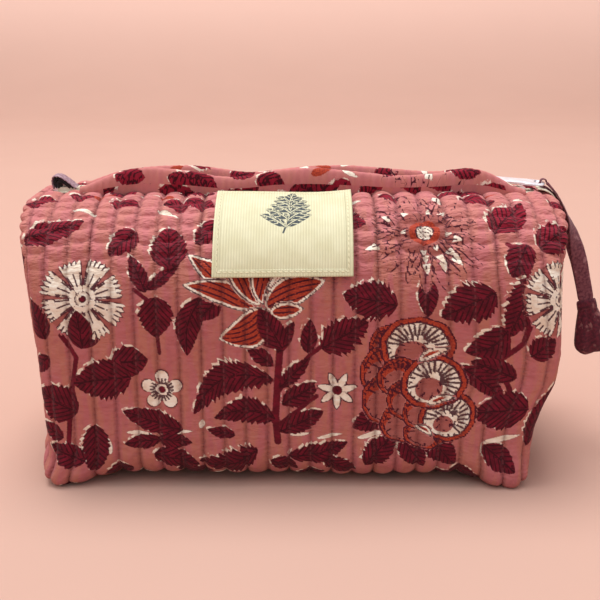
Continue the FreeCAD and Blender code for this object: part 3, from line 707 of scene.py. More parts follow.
def linear(r, g, b):
    """Linear colour from its usual 0-255 values."""
    shares = [c / 255 for c in (r, g, b)]
    return tuple(((c + 0.055) / 1.055) ** 2.4 if c > 0.04 else c / 12.92 for c in shares) + (1.0,)


class Paint:
    """A node material with short ways to add and join nodes."""

    def __init__(self, name, roughness=0.9, metallic=0.0, sheen=0.0, specular=0.3):
        self.material = bpy.data.materials.new(name)
        self.material.use_nodes = True
        self.tree = self.material.node_tree
        self.shader = self.tree.nodes["Principled BSDF"]
        self.shader.inputs["Roughness"].default_value = roughness
        self.shader.inputs["Metallic"].default_value = metallic
        self.shader.inputs["Sheen Weight"].default_value = sheen
        self.shader.inputs["Sheen Roughness"].default_value = 0.6
        self.shader.inputs["Specular IOR Level"].default_value = specular

    def node(self, kind, **settings):
        made = self.tree.nodes.new(kind)
        for key, value in settings.items():
            setattr(made, key, value)
        return made

    def put(self, value, socket):
        if isinstance(value, (int, float, tuple)):
            socket.default_value = value
        else:
            self.tree.links.new(value, socket)

    def math(self, operation, a, b=0.0, c=0.0):
        made = self.node("ShaderNodeMath", operation=operation)
        for value, socket in zip((a, b, c), made.inputs):
            self.put(value, socket)
        return made.outputs[0]

    def times(self, a, b):
        return self.math("MULTIPLY", a, b)

    def away(self, value, middle):
        """How far a value is from a middle one."""
        return self.math("ABSOLUTE", self.math("SUBTRACT", value, middle))

    def wave(self, value, rate):
        """Wave between 0 and 1 along a value."""
        return self.math("MULTIPLY_ADD", self.math("SINE", self.times(value, rate)), 0.5, 0.5)

    def field(self, name):
        return self.node("ShaderNodeAttribute", attribute_name=name).outputs["Fac"]

    def cloth(self):
        """The u and w places on the cloth, in centimetres, and both together."""
        place = self.node("ShaderNodeUVMap", uv_map="cloth").outputs[0]
        split = self.node("ShaderNodeSeparateXYZ")
        self.tree.links.new(place, split.inputs[0])
        return place, split.outputs[0], split.outputs[1]

    def noise(self, where, size, detail=3.0, stretch=None):
        """Noise from 0 to 1; size is about how many spots there are in one unit of where."""
        if stretch:
            mapping = self.node("ShaderNodeMapping")
            self.tree.links.new(where, mapping.inputs[0])
            mapping.inputs["Scale"].default_value = stretch
            where = mapping.outputs[0]
        made = self.node("ShaderNodeTexNoise")
        self.tree.links.new(where, made.inputs["Vector"])
        made.inputs["Scale"].default_value = size
        made.inputs["Detail"].default_value = detail
        return made.outputs["Fac"]

    def span(self, value, low, high, new_low=0.0, new_high=1.0):
        made = self.node("ShaderNodeMapRange", interpolation_type="SMOOTHSTEP")
        for item, socket in zip((value, low, high, new_low, new_high), made.inputs):
            self.put(item, socket)
        return made.outputs[0]

    def mix(self, share, a, b):
        made = self.node("ShaderNodeMix", data_type="RGBA")
        self.put(share, made.inputs[0])
        self.put(a, made.inputs[6])
        self.put(b, made.inputs[7])
        return made.outputs[2]

    def place(self):
        return self.node("ShaderNodeTexCoord").outputs["Object"]

    def colour(self, value):
        self.put(value, self.shader.inputs["Base Color"])

    def rough(self, value):
        self.put(value, self.shader.inputs["Roughness"])

    def bumps(self, *heights):
        """Bumps from (height, millimetres) pairs, laid over each other."""
        last = None
        for height, deep in heights:
            made = self.node("ShaderNodeBump")
            made.inputs["Distance"].default_value = deep / 1000.0
            self.put(height, made.inputs["Height"])
            if last is not None:
                self.tree.links.new(last, made.inputs["Normal"])
            last = made.outputs[0]
        self.tree.links.new(last, self.shader.inputs["Normal"])

    def weave(self, u, w, threads):
        """Plain weave, with this many threads in a centimetre."""
        across = self.math("SINE", self.times(u, threads * math.pi))
        along = self.math("SINE", self.times(w, threads * math.pi))
        return self.math("MULTIPLY_ADD", self.times(across, along), 0.5, 0.5)


def printed_cotton(name, quilted=True):
    """Block-printed cotton: each block's edge from its distance field, roughened by noise."""
    paint = Paint(name, roughness=0.88, sheen=0.05, specular=0.16)
    place, u, w = paint.cloth()
    ragged = paint.noise(place, 14.0, 4.0)
    shake = paint.math("MULTIPLY_ADD", ragged, 1.1, -0.55)
    patchy = paint.noise(place, 2.4, 3.0)
    streak = paint.noise(place, 1.0, 3.0, (2.2, 0.35, 1.0))
    fibre = paint.noise(place, 60.0, 2.0)

    def block(field, soft=0.16):
        edge = paint.math("ADD", paint.field(field), shake)
        return paint.span(edge, soft, -soft)

    def line(field, half):
        edge = paint.math("ABSOLUTE", paint.math("MULTIPLY_ADD", shake, 0.45, paint.field(field)))
        return paint.span(edge, half + 0.14, half - 0.1)

    rose, tan = linear(180, 104, 105), linear(180, 112, 98)
    colour = paint.mix(paint.span(streak, 0.38, 0.62), rose, tan)
    colour = paint.mix(paint.times(paint.span(patchy, 0.45, 0.8), 0.5), colour, linear(158, 84, 88))
    # painted light: the cotton turns a paler pink over the shoulder and top, where the light falls from above
    up = paint.away(w, -(B_LOW - LOW_ROUND) / 10.0)
    colour = paint.mix(paint.span(up, 14.6, 18.5, 0.0, 0.34), colour, linear(218, 142, 140))
    dusk = paint.mix(paint.span(fibre, 0.3, 0.7), linear(150, 84, 80), linear(170, 98, 88))
    colour = paint.mix(block("dusk"), colour, dusk)
    cream = paint.mix(paint.span(patchy, 0.4, 0.7), linear(240, 231, 214), linear(226, 208, 186))
    present = paint.span(patchy, 0.46, 0.54)
    colour = paint.mix(paint.times(block("halo"), present), colour, cream)
    rust = paint.mix(paint.span(ragged, 0.35, 0.65), linear(182, 70, 44), linear(146, 50, 38))
    colour = paint.mix(block("cream"), colour, cream)
    colour = paint.mix(block("rust"), colour, rust)
    maroon = paint.mix(paint.span(patchy, 0.35, 0.7), linear(84, 10, 27), linear(112, 16, 36))
    maroon = paint.mix(paint.span(fibre, 0.5, 0.9), maroon, linear(122, 30, 46))
    # painted light: the maroon print is paler over the shoulder and top, where the light falls from above
    painted_top_light = paint.span(up, 14.6, 18.5)
    maroon = paint.mix(paint.times(painted_top_light, 0.6), maroon, linear(158, 26, 50))
    leaf = block("maroon", 0.2)
    colour = paint.mix(leaf, colour, maroon)
    ink = paint.mix(leaf, linear(66, 14, 34), linear(54, 5, 17))
    inked = paint.span(paint.noise(place, 5.0, 2.0), 0.30, 0.42)
    drawn = paint.times(line("ink", 0.29), inked)
    colour = paint.mix(paint.times(drawn, 0.95), colour, ink)
    rim = paint.times(line("maroon", 0.08), inked)
    colour = paint.mix(paint.times(rim, 0.7), colour, linear(74, 16, 32))
    lip = paint.times(line("cream", 0.06), inked)
    lip = paint.times(lip, paint.span(paint.field("maroon"), 0.0, 0.5))
    colour = paint.mix(paint.times(lip, 0.7), colour, linear(92, 34, 48))
    heights = [(paint.weave(u, w, 26.0), 0.035), (paint.noise(place, 9.0, 3.0), 0.10)]
    if quilted:
        row = paint.math("FRACT", paint.times(u, 10.0 / PITCH))
        seam = paint.away(row, 0.5)
        valley = paint.span(seam, 0.5 - 0.55 / PITCH, 0.5 - 0.12 / PITCH)
        pinch = paint.span(seam, 0.5 - 1.7 / PITCH, 0.5)
        dash = paint.math("FRACT", paint.math("MULTIPLY_ADD", w, 3.3, paint.times(ragged, 0.3)))
        thread = paint.times(paint.span(paint.away(dash, 0.5), 0.34, 0.26), valley)
        shade = paint.mix(0.62, colour, linear(96, 36, 42))
        uneven = paint.span(paint.noise(place, 1.8, 2.0), 0.3, 0.65)
        colour = paint.mix(paint.times(pinch, 0.36), colour, shade)
        valley = paint.times(valley, uneven)
        colour = paint.mix(paint.times(valley, 0.62), colour, shade)
        stitch = paint.mix(leaf, linear(126, 58, 62), linear(170, 92, 98))
        colour = paint.mix(paint.times(thread, 0.18), colour, stitch)
        gather = paint.noise(place, 3.4, 2.0, (0.5, 2.2, 1.0))
        heights.append((paint.times(gather, pinch), 0.9))
        heights.append((paint.noise(place, 1.5, 2.0, (1.0, 1.6, 1.0)), 0.9))
        crinkle = paint.noise(place, 4.6, 3.0, (0.7, 1.6, 1.0))
        heights.append((paint.times(crinkle, paint.span(up, 12.0, 17.0, 0.45, 1.3)), 1.0))
        heights.append((thread, 0.12))
    paint.colour(colour)
    paint.rough(paint.span(fibre, 0.2, 0.8, 0.8, 0.95))
    paint.bumps(*heights)
    return paint.material


def plain_cloth(name, light, dark, threads, ribs=False):
    """Woven cloth of one colour, with uneven dye and a visible weave."""
    paint = Paint(name, sheen=0.1, specular=0.2)
    place, u, w = paint.cloth()
    patch = paint.noise(place, 1.6, 3.0)
    fine = paint.noise(place, 40.0, 2.0)
    colour = paint.mix(paint.span(patch, 0.3, 0.7), light, dark)
    colour = paint.mix(paint.times(paint.span(fine, 0.45, 0.75), 0.3), colour, dark)
    weave = paint.wave(u, threads * TAU) if ribs else paint.weave(u, w, threads)
    colour = paint.mix(paint.times(weave, 0.16), colour, dark)
    paint.colour(colour)
    paint.rough(paint.span(fine, 0.2, 0.8, 0.84, 0.95))
    paint.bumps((weave, 0.05), (paint.noise(place, 6.0, 3.0), 0.12))
    return paint.material


def strap_cloth(name, light, dark, pale, amount):
    """Dyed strap cotton with blurred pale blotches of print."""
    paint = Paint(name, roughness=0.85, sheen=0.12, specular=0.25)
    place, u, w = paint.cloth()
    blotch = paint.noise(place, 2.6, 3.0, (1.0, 0.7, 1.0))
    mottled = paint.noise(place, 7.0, 3.0)
    colour = paint.mix(paint.span(mottled, 0.3, 0.7), dark, light)
    colour = paint.mix(paint.times(paint.span(blotch, 0.56, 0.68), amount), colour, pale)
    weave = paint.weave(u, w, 24.0)
    paint.colour(paint.mix(paint.times(weave, 0.15), colour, dark))
    paint.rough(paint.span(mottled, 0.2, 0.8, 0.8, 0.92))
    paint.bumps((weave, 0.04), (mottled, 0.15))
    return paint.material


def bright_metal(name, tint, roughness, brushed=0.12):
    """Cast and tumbled metal with faint scratches and dull spots."""
    paint = Paint(name, roughness=roughness, metallic=0.55, specular=0.6)
    place = paint.place()
    scratch = paint.noise(place, 900.0, 2.0, (0.15, 1.0, 1.0))
    spots = paint.noise(place, 260.0, 3.0)
    paint.colour(paint.mix(paint.span(spots, 0.4, 0.8), tint, linear(214, 214, 220)))
    paint.rough(paint.span(scratch, 0.3, 0.7, roughness, roughness + brushed))
    paint.bumps((scratch, 0.02))
    return paint.material


def moulded(name, light, dark):
    """Moulded nylon, slightly uneven."""
    paint = Paint(name, roughness=0.45, specular=0.4)
    place = paint.place()
    cloudy = paint.noise(place, 300.0, 3.0)
    paint.colour(paint.mix(paint.span(cloudy, 0.3, 0.7), light, dark))
    paint.rough(paint.span(cloudy, 0.3, 0.7, 0.38, 0.55))
    paint.bumps((cloudy, 0.03))
    return paint.material


PRINT = printed_cotton("printed_cotton")
BOUND = printed_cotton("binding_cotton", quilted=False)
LINING = plain_cloth("lining_cotton", linear(236, 226, 208), linear(214, 198, 178), 18.0)
SEAM = plain_cloth("seam_cotton", linear(196, 120, 112), linear(166, 92, 90), 20.0)
TAPE = plain_cloth("zip_tape", linear(226, 218, 196), linear(196, 186, 164), 14.0, ribs=True)
STRAP = strap_cloth("strap_cotton", linear(132, 78, 86), linear(88, 40, 54), linear(186, 140, 142), 0.5)
END = strap_cloth("strap_end_cotton", linear(106, 34, 50), linear(66, 18, 34), linear(190, 140, 136), 0.45)
RIBBON = strap_cloth("end_ribbon", linear(172, 142, 152), linear(112, 80, 92), linear(210, 190, 196), 0.3)
COIL = moulded("zip_coil", linear(228, 222, 204), linear(202, 192, 170))
METAL = bright_metal("zip_metal", linear(244, 244, 248), 0.26)


# ---------------------------------------------------------------- quilted shell


def own(thing, material):
    thing.data.materials.append(material)
    return thing


LOW_FIELD = FOLD_W / 1000.0
SIDE_RATE = (134.5 - FOLD_W) / 30.0 / (FLAP_U - MIDDLE_U)


def fold(thing, part):
    """Bake a flap piece's placement into its mesh; the ends of the bend towards its flap, less and less
    towards the mouth's ends, are worked out but not applied.
    """
    if part == "middle":
        start, end = (0.0, 0.0, LOW_FIELD), (0.0, 0.0, LOW_FIELD + 0.030)
    else:
        side = -1.0 if part == "left" else 1.0
        gx, gz = -side * SIDE_RATE * 1000.0, 1000.0 / 30.0
        size = gx * gx + gz * gz
        start = (side * MIDDLE_U / 1000.0, 0.0, LOW_FIELD)
        end = (start[0] + gx / size, 0.0, start[2] + gz / size)
    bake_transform(thing)
    return thing


def shell_masks(grid):
    """Which quads of the belt belong to which piece."""
    u = (grid.face_u[:-1, :-1] + grid.face_u[1:, 1:]) / 2
    b = (grid.bb[:-1, :-1] + grid.bb[1:, 1:]) / 2
    s = np.abs(b)
    front = b < 0
    high = s > B_FOLD
    inner = np.abs(u) < FLAP_U
    slot = (s > B_SLOT) & (np.abs(u) < SLOT_U)
    masks = {}
    for word, here in (("front", front), ("rear", ~front)):
        flap = here & high & inner & (s < B_RIM)
        masks[f"{word}_left"] = flap & (u < -MIDDLE_U)
        masks[f"{word}_middle"] = flap & (np.abs(u) < MIDDLE_U)
        masks[f"{word}_right"] = flap & (u > MIDDLE_U)
        masks[f"{word}_wall"] = here & ~high & (s > B_LOW - 6.0)
    masks["base"] = ~high & (s <= B_LOW - 6.0)
    shoulders = high & ~inner & ~slot
    masks["left_shoulder"] = shoulders & (u < 0)
    masks["right_shoulder"] = shoulders & (u > 0)
    return masks


def build_layer(grid, tag, material, printed, flip):
    """All the pieces of one layer of the shell; the flap pieces go through fold, the others ride the root."""
    rows, columns = grid.belt.shape[:2]
    points = grid.belt.reshape(-1, 3)
    cloth = (grid.belt_u.ravel(), grid.belt_w.ravel())
    made = {}
    for key, mask in shell_masks(grid).items():
        faces = sheet_faces(rows, columns, mask, flip)
        thing = own(mesh_from(f"{tag}_{key}", points, faces, cloth, printed), material)
        made[key] = thing
        word, _, part = key.partition("_")
        if part in ("left", "middle", "right") and word in ("front", "rear"):
            fold(thing, part)
        else:
            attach(thing, "root")
    for side, (end, cu, cw) in zip(("left", "right"), grid.ends):
        turned = flip if side == "right" else not flip
        thing = sheet_mesh(f"{tag}_{side}_end", end, turned, (cu, cw), printed)
        made[f"{side}_end"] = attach(own(thing, material), "root")
    return made


# steps of the mesh along the zip, down the front and down the back
FACE_STEPS = ((0.62, 0.7, 1.1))
LINING_STEPS = (2.6, 2.6, 2.6)
LINING_INSET = 4.2
LINING_LEVEL = 0.35
face_grid = Grid(*FACE_STEPS)
lining_grid = Grid(*LINING_STEPS, inset=LINING_INSET, level=LINING_LEVEL)
outer = build_layer(face_grid, "cloth", PRINT, True, False)
lining = build_layer(lining_grid, "lining", LINING, False, True)
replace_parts(outer["front_wall"], "shell_outer", "shell_wadding")
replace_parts(lining["base"], "shell_lining")
for word in ("front", "rear"):
    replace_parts(outer[f"{word}_middle"], f"{word}_flap_outer", f"{word}_flap_wadding")
    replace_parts(lining[f"{word}_middle"], f"{word}_flap_lining")

# ---------------------------------------------------------------- bindings beside the zip


SIGN = {"front": -1.0, "rear": 1.0}
BINDING_FOOT = 122.6
TAPE_Z = 124.85
TEETH_Z = 126.05
TEETH_PITCH = 1.5
TAPE_THICK_M = 0.0005
RIDGE_AT = [-97, -90, -80, -66, -47, -32, -20, -6, 10, 28, 50, 68, 80, 89, 95, 101, 106, 110]
RIDGE = {
    "front": [127.2, 130.4, 134.4, 137.2, 135.8, 132.6, 132.5, 135.8, 137.2,
              135.3, 132.9, 134.3, 136.3, 136.2, 133.2, 129.8, 127.4, 126.0],
    "rear": [127.2, 130.0, 133.4, 135.2, 136.0, 134.4, 132.2, 133.6, 135.6,
             136.0, 134.0, 132.6, 134.2, 134.6, 132.2, 129.2, 127.2, 126.0],
}
BINDING_W = 134.0


def ridge_level(x, word):
    """Height of the bound edge along the zip, wavy as the soft top pushes it, smoothed over 10 mm."""
    return sum(np.interp(x + shift, RIDGE_AT, RIDGE[word]) * 0.2 for shift in (-5.0, -2.5, 0.0, 2.5, 5.0))


def squarish(turn, power_across, power_up):
    """Unit ring between a circle, at powers of 1, and a square, at powers of 0."""
    across = np.sign(np.cos(turn)) * np.abs(np.cos(turn)) ** power_across
    up = np.sign(np.sin(turn)) * np.abs(np.sin(turn)) ** power_up
    return across, up


def turns(count):
    """Angles of a closed ring, whose last point lies on its first."""
    return TAU * np.arange(count + 1) / count


def run_along(points):
    """Distance run so far at each of a line's points."""
    return np.concatenate([[0.0], np.cumsum(np.linalg.norm(np.diff(points, axis=0), axis=1))])


def swept(xs, ring):
    """Rows of a closed ring carried along x; ring gives (y, z) for each x and place round it."""
    count = 20
    around = np.arange(count + 1) / count
    x = np.broadcast_to(xs[:, None], (len(xs), count + 1))
    y, z = ring(x, np.broadcast_to(around, x.shape))
    return np.stack([x, y, z], -1)


def binding_ring(word):
    sign = SIGN[word]

    def ring(x, around):
        turn = TAU * around
        top = ridge_level(x, word)
        low = BINDING_FOOT
        crinkle = 0.22 * np.sin(x * 1.9 + 2.0 * np.cos(turn)) + 0.16 * np.sin(x * 0.83 + 1.3)
        near_end = ramp(np.abs(x), 74.0, 84.0)
        sway = np.sin(x / 9.0 + (0.0 if word == "front" else 2.0))
        middle = 7.5 + 0.4 * near_end + 0.6 * (1.0 - near_end) * sway
        cx, cz = squarish(turn, 0.7, 0.8)
        wide = 2.5 * (1.0 - 0.22 * np.clip(cz, 0, 1)) * (0.92 + 0.08 * np.sin(x / 5.0))
        pinch = 1.0 - 0.18 * np.exp(-(((cz + 0.25) / 0.25) ** 2))
        y = sign * (middle + cx * (wide * pinch + crinkle))
        z = (top + low) / 2 + cz * (top - low) / 2 + crinkle * 0.3
        return y, z

    return ring


def strip_piece(name, grid, material, printed, flip, cloth_at):
    """Piece from rows of points along x; its cloth starts at cloth_at and runs round each row."""
    u = grid[..., 0]
    w = cloth_at + np.broadcast_to(run_along(grid[len(grid) // 2]), u.shape)
    return own(sheet_mesh(name, grid, flip, (u, w), printed), material)


SPANS = {"left": (-FLAP_U, -MIDDLE_U), "middle": (-MIDDLE_U, MIDDLE_U), "right": (MIDDLE_U, FLAP_U)}
STUBS = {"left": (-96.5, -FLAP_U), "right": (FLAP_U, 109.0)}


def capped(grid):
    """Close both ends of a swept ring."""
    first = np.broadcast_to(grid[:1].mean(axis=1, keepdims=True), grid[:1].shape)
    last = np.broadcast_to(grid[-1:].mean(axis=1, keepdims=True), grid[-1:].shape)
    return np.concatenate([first, grid, last])


for word in ("front", "rear"):
    ring = binding_ring(word)
    for part, (low, high) in SPANS.items():
        rows = swept(spaced([low, high], 0.9), ring)
        piece = strip_piece(f"binding_{word}_{part}", rows, BOUND, True, True, BINDING_W)
        if part == "middle":
            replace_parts(piece, f"{word}_binding")
        fold(piece, part)
    for part, (low, high) in STUBS.items():
        rows = capped(swept(spaced([low, high], 0.9), ring))
        name = f"binding_{word}_{part}_end"
        piece = strip_piece(name, rows, BOUND, True, True, BINDING_W)
        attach(piece, "root")
        if part == "left":
            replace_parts(piece, f"{word}_binding_ends")

# ---------------------------------------------------------------- zip tapes and coils


def tape_ring(word):
    sign = SIGN[word]

    def ring(x, around):
        across, up = squarish(TAU * around, 0.35, 0.5)
        return sign * (2.9 + 2.45 * across), TAPE_Z + 0.26 * up + 0.12 * np.sin(x / 6.0 + sign)

    return ring


def coil_piece(name, word, low, high):
    """Teeth: one rounded loop of wire for each turn of the coil."""
    sign = SIGN[word]
    points, faces = [], []
    first = math.ceil(low / TEETH_PITCH - 0.5)
    last = math.floor(high / TEETH_PITCH - 0.5)
    for turn in range(first, last + 1):
        middle = (turn + 0.5) * TEETH_PITCH + sign * 0.35
        count = 8
        for near, small in ((0.45, 0.55), (0.8, 1.0), (2.9, 1.0), (3.2, 0.55)):
            for k in range(count):
                angle = TAU * (k + 0.5) / count
                along, up = 0.42 * small * math.cos(angle), 0.92 * small * math.sin(angle)
                points.append((middle + along, sign * near, TEETH_Z + up))
        start = len(points) - 4 * count
        for ring_no in range(3):
            for k in range(count):
                a = start + ring_no * count + k
                b = start + ring_no * count + (k + 1) % count
                faces.append((a, b, b + count, a + count))
        faces.append(tuple(start + k for k in range(count))[:4])
        faces.append(tuple(start + 3 * count + k for k in range(count))[:4])
        faces.append((start, start + 3, start + 4, start + 7))
        faces.append((start + 3 * count, start + 3 * count + 3, start + 3 * count + 4, start + 3 * count + 7))
    return own(mesh_from(name, np.array(points), np.array(faces)), COIL)


for word in ("front", "rear"):
    for part, (low, high) in SPANS.items():
        rows = swept(spaced([low, high], 1.5), tape_ring(word))
        tape = strip_piece(f"tape_{word}_{part}", rows, TAPE, False, True, 0.0)
        coil = coil_piece(f"coil_{word}_{part}", word, low, high)
        if part == "middle":
            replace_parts(tape, f"{word}_zip_tape")
            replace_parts(coil, f"{word}_zip_coil")
        fold(tape, part)
        fold(coil, part)
    for part, (low, high) in (("left", (-112.5, -FLAP_U)), ("right", (FLAP_U, 116.0))):
        rows = capped(swept(spaced([low, high], 1.5), tape_ring(word)))
        tape = strip_piece(f"tape_{word}_{part}_end", rows, TAPE, False, True, 0.0)
        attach(tape, "root")
        if part == "right":
            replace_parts(tape, f"{word}_zip_tape_ends")

# the tape's tail, over the right end of the top
tail_rows = np.concatenate([np.linspace(0.0, LEAN, 10), np.full(14, LEAN)])
tail_t = np.concatenate([np.zeros(10), np.linspace(0.03, 0.62, 14)])
tail_across = np.linspace(-5.2, 5.2, 15)
tail_b = np.where(tail_across < 0, -1.0, 1.0) * (B_TOP - np.abs(tail_across))
tail = layer_points(
    *np.broadcast_arrays(face_half(tail_b)[None, :], tail_rows[:, None], tail_t[:, None], tail_b[None, :]),
    inset=-0.9, level=0.15,
)[0]
tail_piece = strip_piece("tape_right_tail", tail, TAPE, False, False, 0.0)
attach(tail_piece, "root")
thick = tail_piece.modifiers.new("thickness", "SOLIDIFY")
thick.thickness = TAPE_THICK_M

# ---------------------------------------------------------------- pull strap


def strip_rows(line, half_wide, half_thick, twist, sway=0.0):
    """Rows of a flat rounded strip along a line in an XZ plane.

    half_wide, half_thick and twist are (shares, values) along it; at twist 0 its width lies along Y, at 1
    across the line.
    """
    tangent = np.gradient(line, axis=0)
    tangent /= np.linalg.norm(tangent, axis=1, keepdims=True)
    share = np.linspace(0.0, 1.0, len(line))
    across = np.stack([-tangent[:, 2], np.zeros(len(line)), tangent[:, 0]], -1)
    sideways = np.array([0.0, 1.0, 0.0])
    turn = (math.pi / 2) * np.interp(share, *twist)[:, None]
    wide_way = np.cos(turn) * sideways + np.sin(turn) * across
    thin_way = -np.sin(turn) * sideways + np.cos(turn) * across
    a = np.interp(share, *half_wide)[:, None, None]
    c = np.interp(share, *half_thick)[:, None, None]
    cx, cz = squarish(turns(28), 0.6, 0.7)
    curl = sway * (cx**2 - 0.4) * np.sin(share * 5.0)[:, None]
    ripple = 0.10 * np.sin(share * 60.0)[:, None] * np.abs(cx) ** 3
    rows = line[:, None, :] + wide_way[:, None, :] * (cx[None, :, None] * a)
    return rows + thin_way[:, None, :] * (cz[None, :, None] * c + (curl + ripple)[..., None])


def cloth_strip(name, rows, material):
    """Closed strip piece whose cloth runs along its rows."""
    rows = capped(rows)
    count, around = rows.shape[:2]
    u = np.broadcast_to(run_along(rows[count // 2])[None, :], (count, around))
    w = np.broadcast_to(run_along(rows.mean(axis=1))[:, None], (count, around))
    return own(sheet_mesh(name, rows, cloth=(u, w)), material)


front_line = route_line("front_line", FRONT_ROUTE)
rear_line = route_line("rear_line", REAR_ROUTE)
STRAND_THICK = ([0, 0.15, 1], [0.7, 0.5, 0.42])
front_rows = strip_rows(
    front_line, ([0, 0.10, 0.22, 0.5, 1], [0.8, 1.3, 3.0, 3.7, 3.7]), STRAND_THICK,
    ([0, 0.52, 0.84, 1], [0.0, 0.14, 1.0, 1.0]), 0.25,
)
rear_rows = strip_rows(
    rear_line, ([0, 0.3, 0.45, 0.62, 0.8, 1], [0.8, 1.0, 1.5, 2.6, 3.7, 3.7]), STRAND_THICK,
    ([0, 0.2, 0.45, 1], [0.0, 0.2, 1.0, 1.0]), -0.25,
)
front_strand = cloth_strip("strap_front_strand", front_rows, STRAP)
rear_strand = cloth_strip("strap_rear_strand", rear_rows, STRAP)

# the pull tab: a rounded cast plate, rolled a little to the front on its bridge
hinge = next(j for j in frame["record"]["behaviour"]["joints"] if j["name"] == "pull_tab_hinge")
pivot = np.array(hinge["pos_m"]) * 1000.0
ahead = np.array(TAB_TIP) * 1000.0 - pivot
reach = float(np.linalg.norm(ahead))
ahead /= reach
ROLL = math.radians(-15.0)
HEEL = 0.8
NOSE = 0.75
TAB_RING = 24
plate_side = np.array([0.0, math.cos(ROLL), 0.0]) + math.sin(ROLL) * np.array([ahead[2], 0.0, -ahead[0]])
plate_up = np.cross(ahead, plate_side)


def tab_points(x, y, z):
    """Points in the frame from places along, across and above the plate."""
    return pivot + x[..., None] * ahead + y[..., None] * plate_side + z[..., None] * plate_up


far_end = reach + NOSE
along = -HEEL + (far_end + HEEL) * (1.0 - np.cos(math.pi * np.linspace(0.0, 1.0, 41))) / 2.0
blunt = np.clip(np.minimum((along + HEEL) / 1.6, (far_end - along) / 2.9), 0.0, 1.0)
waist = 2.95 - 0.35 * ramp(along, 2.0, 9.0) + 0.3 * ramp(along, 14.0, 24.0)
half = waist * np.sqrt(1.0 - (1.0 - blunt) ** 2)
thick = (0.8 - 0.2 * ramp(along, 21.0, 26.0)) * np.clip(half / 1.2, 0.0, 1.0)
wide_y, tall_z = squarish(turns(TAB_RING), 0.45, 0.6)
tab_rows = tab_points(
    np.broadcast_to(along[:, None], (len(along), TAB_RING + 1)),
    half[:, None] * wide_y[None, :],
    thick[:, None] * tall_z[None, :],
)
tab_plate = sheet_mesh("pull_plate", tab_rows)


def cutter(name, x0, x1, half_y, round_by):
    """Upright prism with rounded ends, to cut a hole in the plate."""
    cx, cy = squarish(turns(32), round_by, round_by)
    middle, half_x = (x0 + x1) / 2, (x1 - x0) / 2
    levels = [(-2.0, 0.0), (-2.0, 1.0), (2.0, 1.0), (2.0, 0.0)]
    rings = [tab_points(middle + half_x * cx * k, half_y * cy * k, np.full(33, z)) for z, k in levels]
    return sheet_mesh(name, np.array(rings), flip=True)


def joined_up(thing):
    """Weld doubled points and point every face outwards."""
    solid = bmesh.new()
    solid.from_mesh(thing.data)
    bmesh.ops.remove_doubles(solid, verts=solid.verts, dist=1e-6)
    bmesh.ops.recalc_face_normals(solid, faces=solid.faces)
    solid.to_mesh(thing.data)
    solid.free()
    return thing


holes = [cutter("eye_cut", 0.5, 5.2, 1.6, 0.55), cutter("strap_cut", reach - 4.5, reach - NOSE, 1.8, 0.9)]
joined_up(tab_plate)
for hole in holes:
    joined_up(hole)
    cut = tab_plate.modifiers.new("hole", "BOOLEAN")
    cut.object = hole
    cut.operation = "DIFFERENCE"
cut_mesh = bpy.data.meshes.new_from_object(tab_plate.evaluated_get(bpy.context.evaluated_depsgraph_get()))
tab_plate.modifiers.clear()
tab_plate.data = cut_mesh
for hole in holes:
    bpy.data.objects.remove(hole)
soften = tab_plate.modifiers.new("edges", "BEVEL")
soften.width = 0.00018
soften.segments = 2
soften.limit_method = "ANGLE"
own(tab_plate, METAL)
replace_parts(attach(tab_plate, "pull_tab"), "pull_tab")

# the loop of cloth over the tab's tip, between the two strands
tip = np.array(TAB_TIP) * 1000.0
bow = np.linspace(math.pi, 0.0, 13)
bow_line = np.stack([tip[0] + 1.55 * np.cos(bow), np.zeros(13), tip[2] + 0.4 + 1.75 * np.sin(bow)], -1)
loop_rows = strip_rows(bow_line, ([0, 0.5, 1], [0.9, 1.2, 0.9]), ([0, 1], [0.34, 0.34]), ([0, 1], [0.0, 0.0]))
loop = cloth_strip("strap_loop", loop_rows, STRAP)

# cloth end: a flared pouch with soft folds, closed by a band at its neck
low = np.array(FRONT_ROUTE[-1]) * 1000.0
fall = low - np.array(FRONT_ROUTE[-2]) * 1000.0
fall[1] = 0.0
fall /= np.linalg.norm(fall)
low[1] = 0.0
bell_side = np.array([-fall[2], 0.0, fall[0]])


def pouch(name, downs, half_wide, half_thick, folds, material):
    """Flattened and pleated pouch hanging from the strands' end; downs are distances down it."""
    around = turns(48)
    rows = []
    for down, a, c in zip(downs, half_wide, half_thick):
        share = down / downs[-1]
        pleat = 1.0 + folds * share * np.sin(around * 5.0 + 0.8)
        pleat = pleat + folds * 0.6 * np.sin(around * 9.0 + share * 3.0)
        sag_down = 1.6 * share**3 * np.cos(around * 2.0)
        middle = low + fall * down
        ring = middle + bell_side * (np.cos(around) * a * (1 + 0.3 * (pleat - 1)))[:, None]
        ring = ring + np.array([0.0, 1.0, 0.0]) * (np.sin(around) * c * pleat)[:, None]
        rows.append(ring + fall * sag_down[:, None] * 0.4)
    return cloth_strip(name, np.array(rows), material)


downs = np.array([-1.0, 0.5, 2.0, 4.0, 7.0, 10.0, 13.0, 16.0, 19.0, 21.5, 23.5, 25.2, 26.4, 27.0])
bell = pouch(
    "strap_end", downs,
    np.interp(downs, [-1, 3, 12, 21, 24, 26, 27], [4.0, 4.3, 7.0, 9.3, 8.6, 6.6, 4.2]),
    np.interp(downs, [-1, 3, 12, 21, 24, 26, 27], [1.5, 1.7, 2.3, 2.6, 2.3, 1.6, 0.9]), 0.16, END,
)
band_downs = np.array([-0.8, 0.0, 1.2, 2.6, 3.8, 4.6])
band = pouch(
    "strap_end_band", band_downs, np.array([4.2, 4.7, 4.8, 4.9, 4.9, 4.5]),
    np.array([1.7, 2.1, 2.2, 2.2, 2.1, 1.9]), 0.04, END,
)
for piece in (front_strand, rear_strand, loop, bell, band):
    piece.modifiers.new("smooth", "SUBSURF").levels = 1
    piece.modifiers["smooth"].render_levels = 1
    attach(piece, "pull_strap")
    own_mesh(piece)
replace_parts(front_strand, "pull_strap")
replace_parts(bell, "pull_end")

# ---------------------------------------------------------------- label

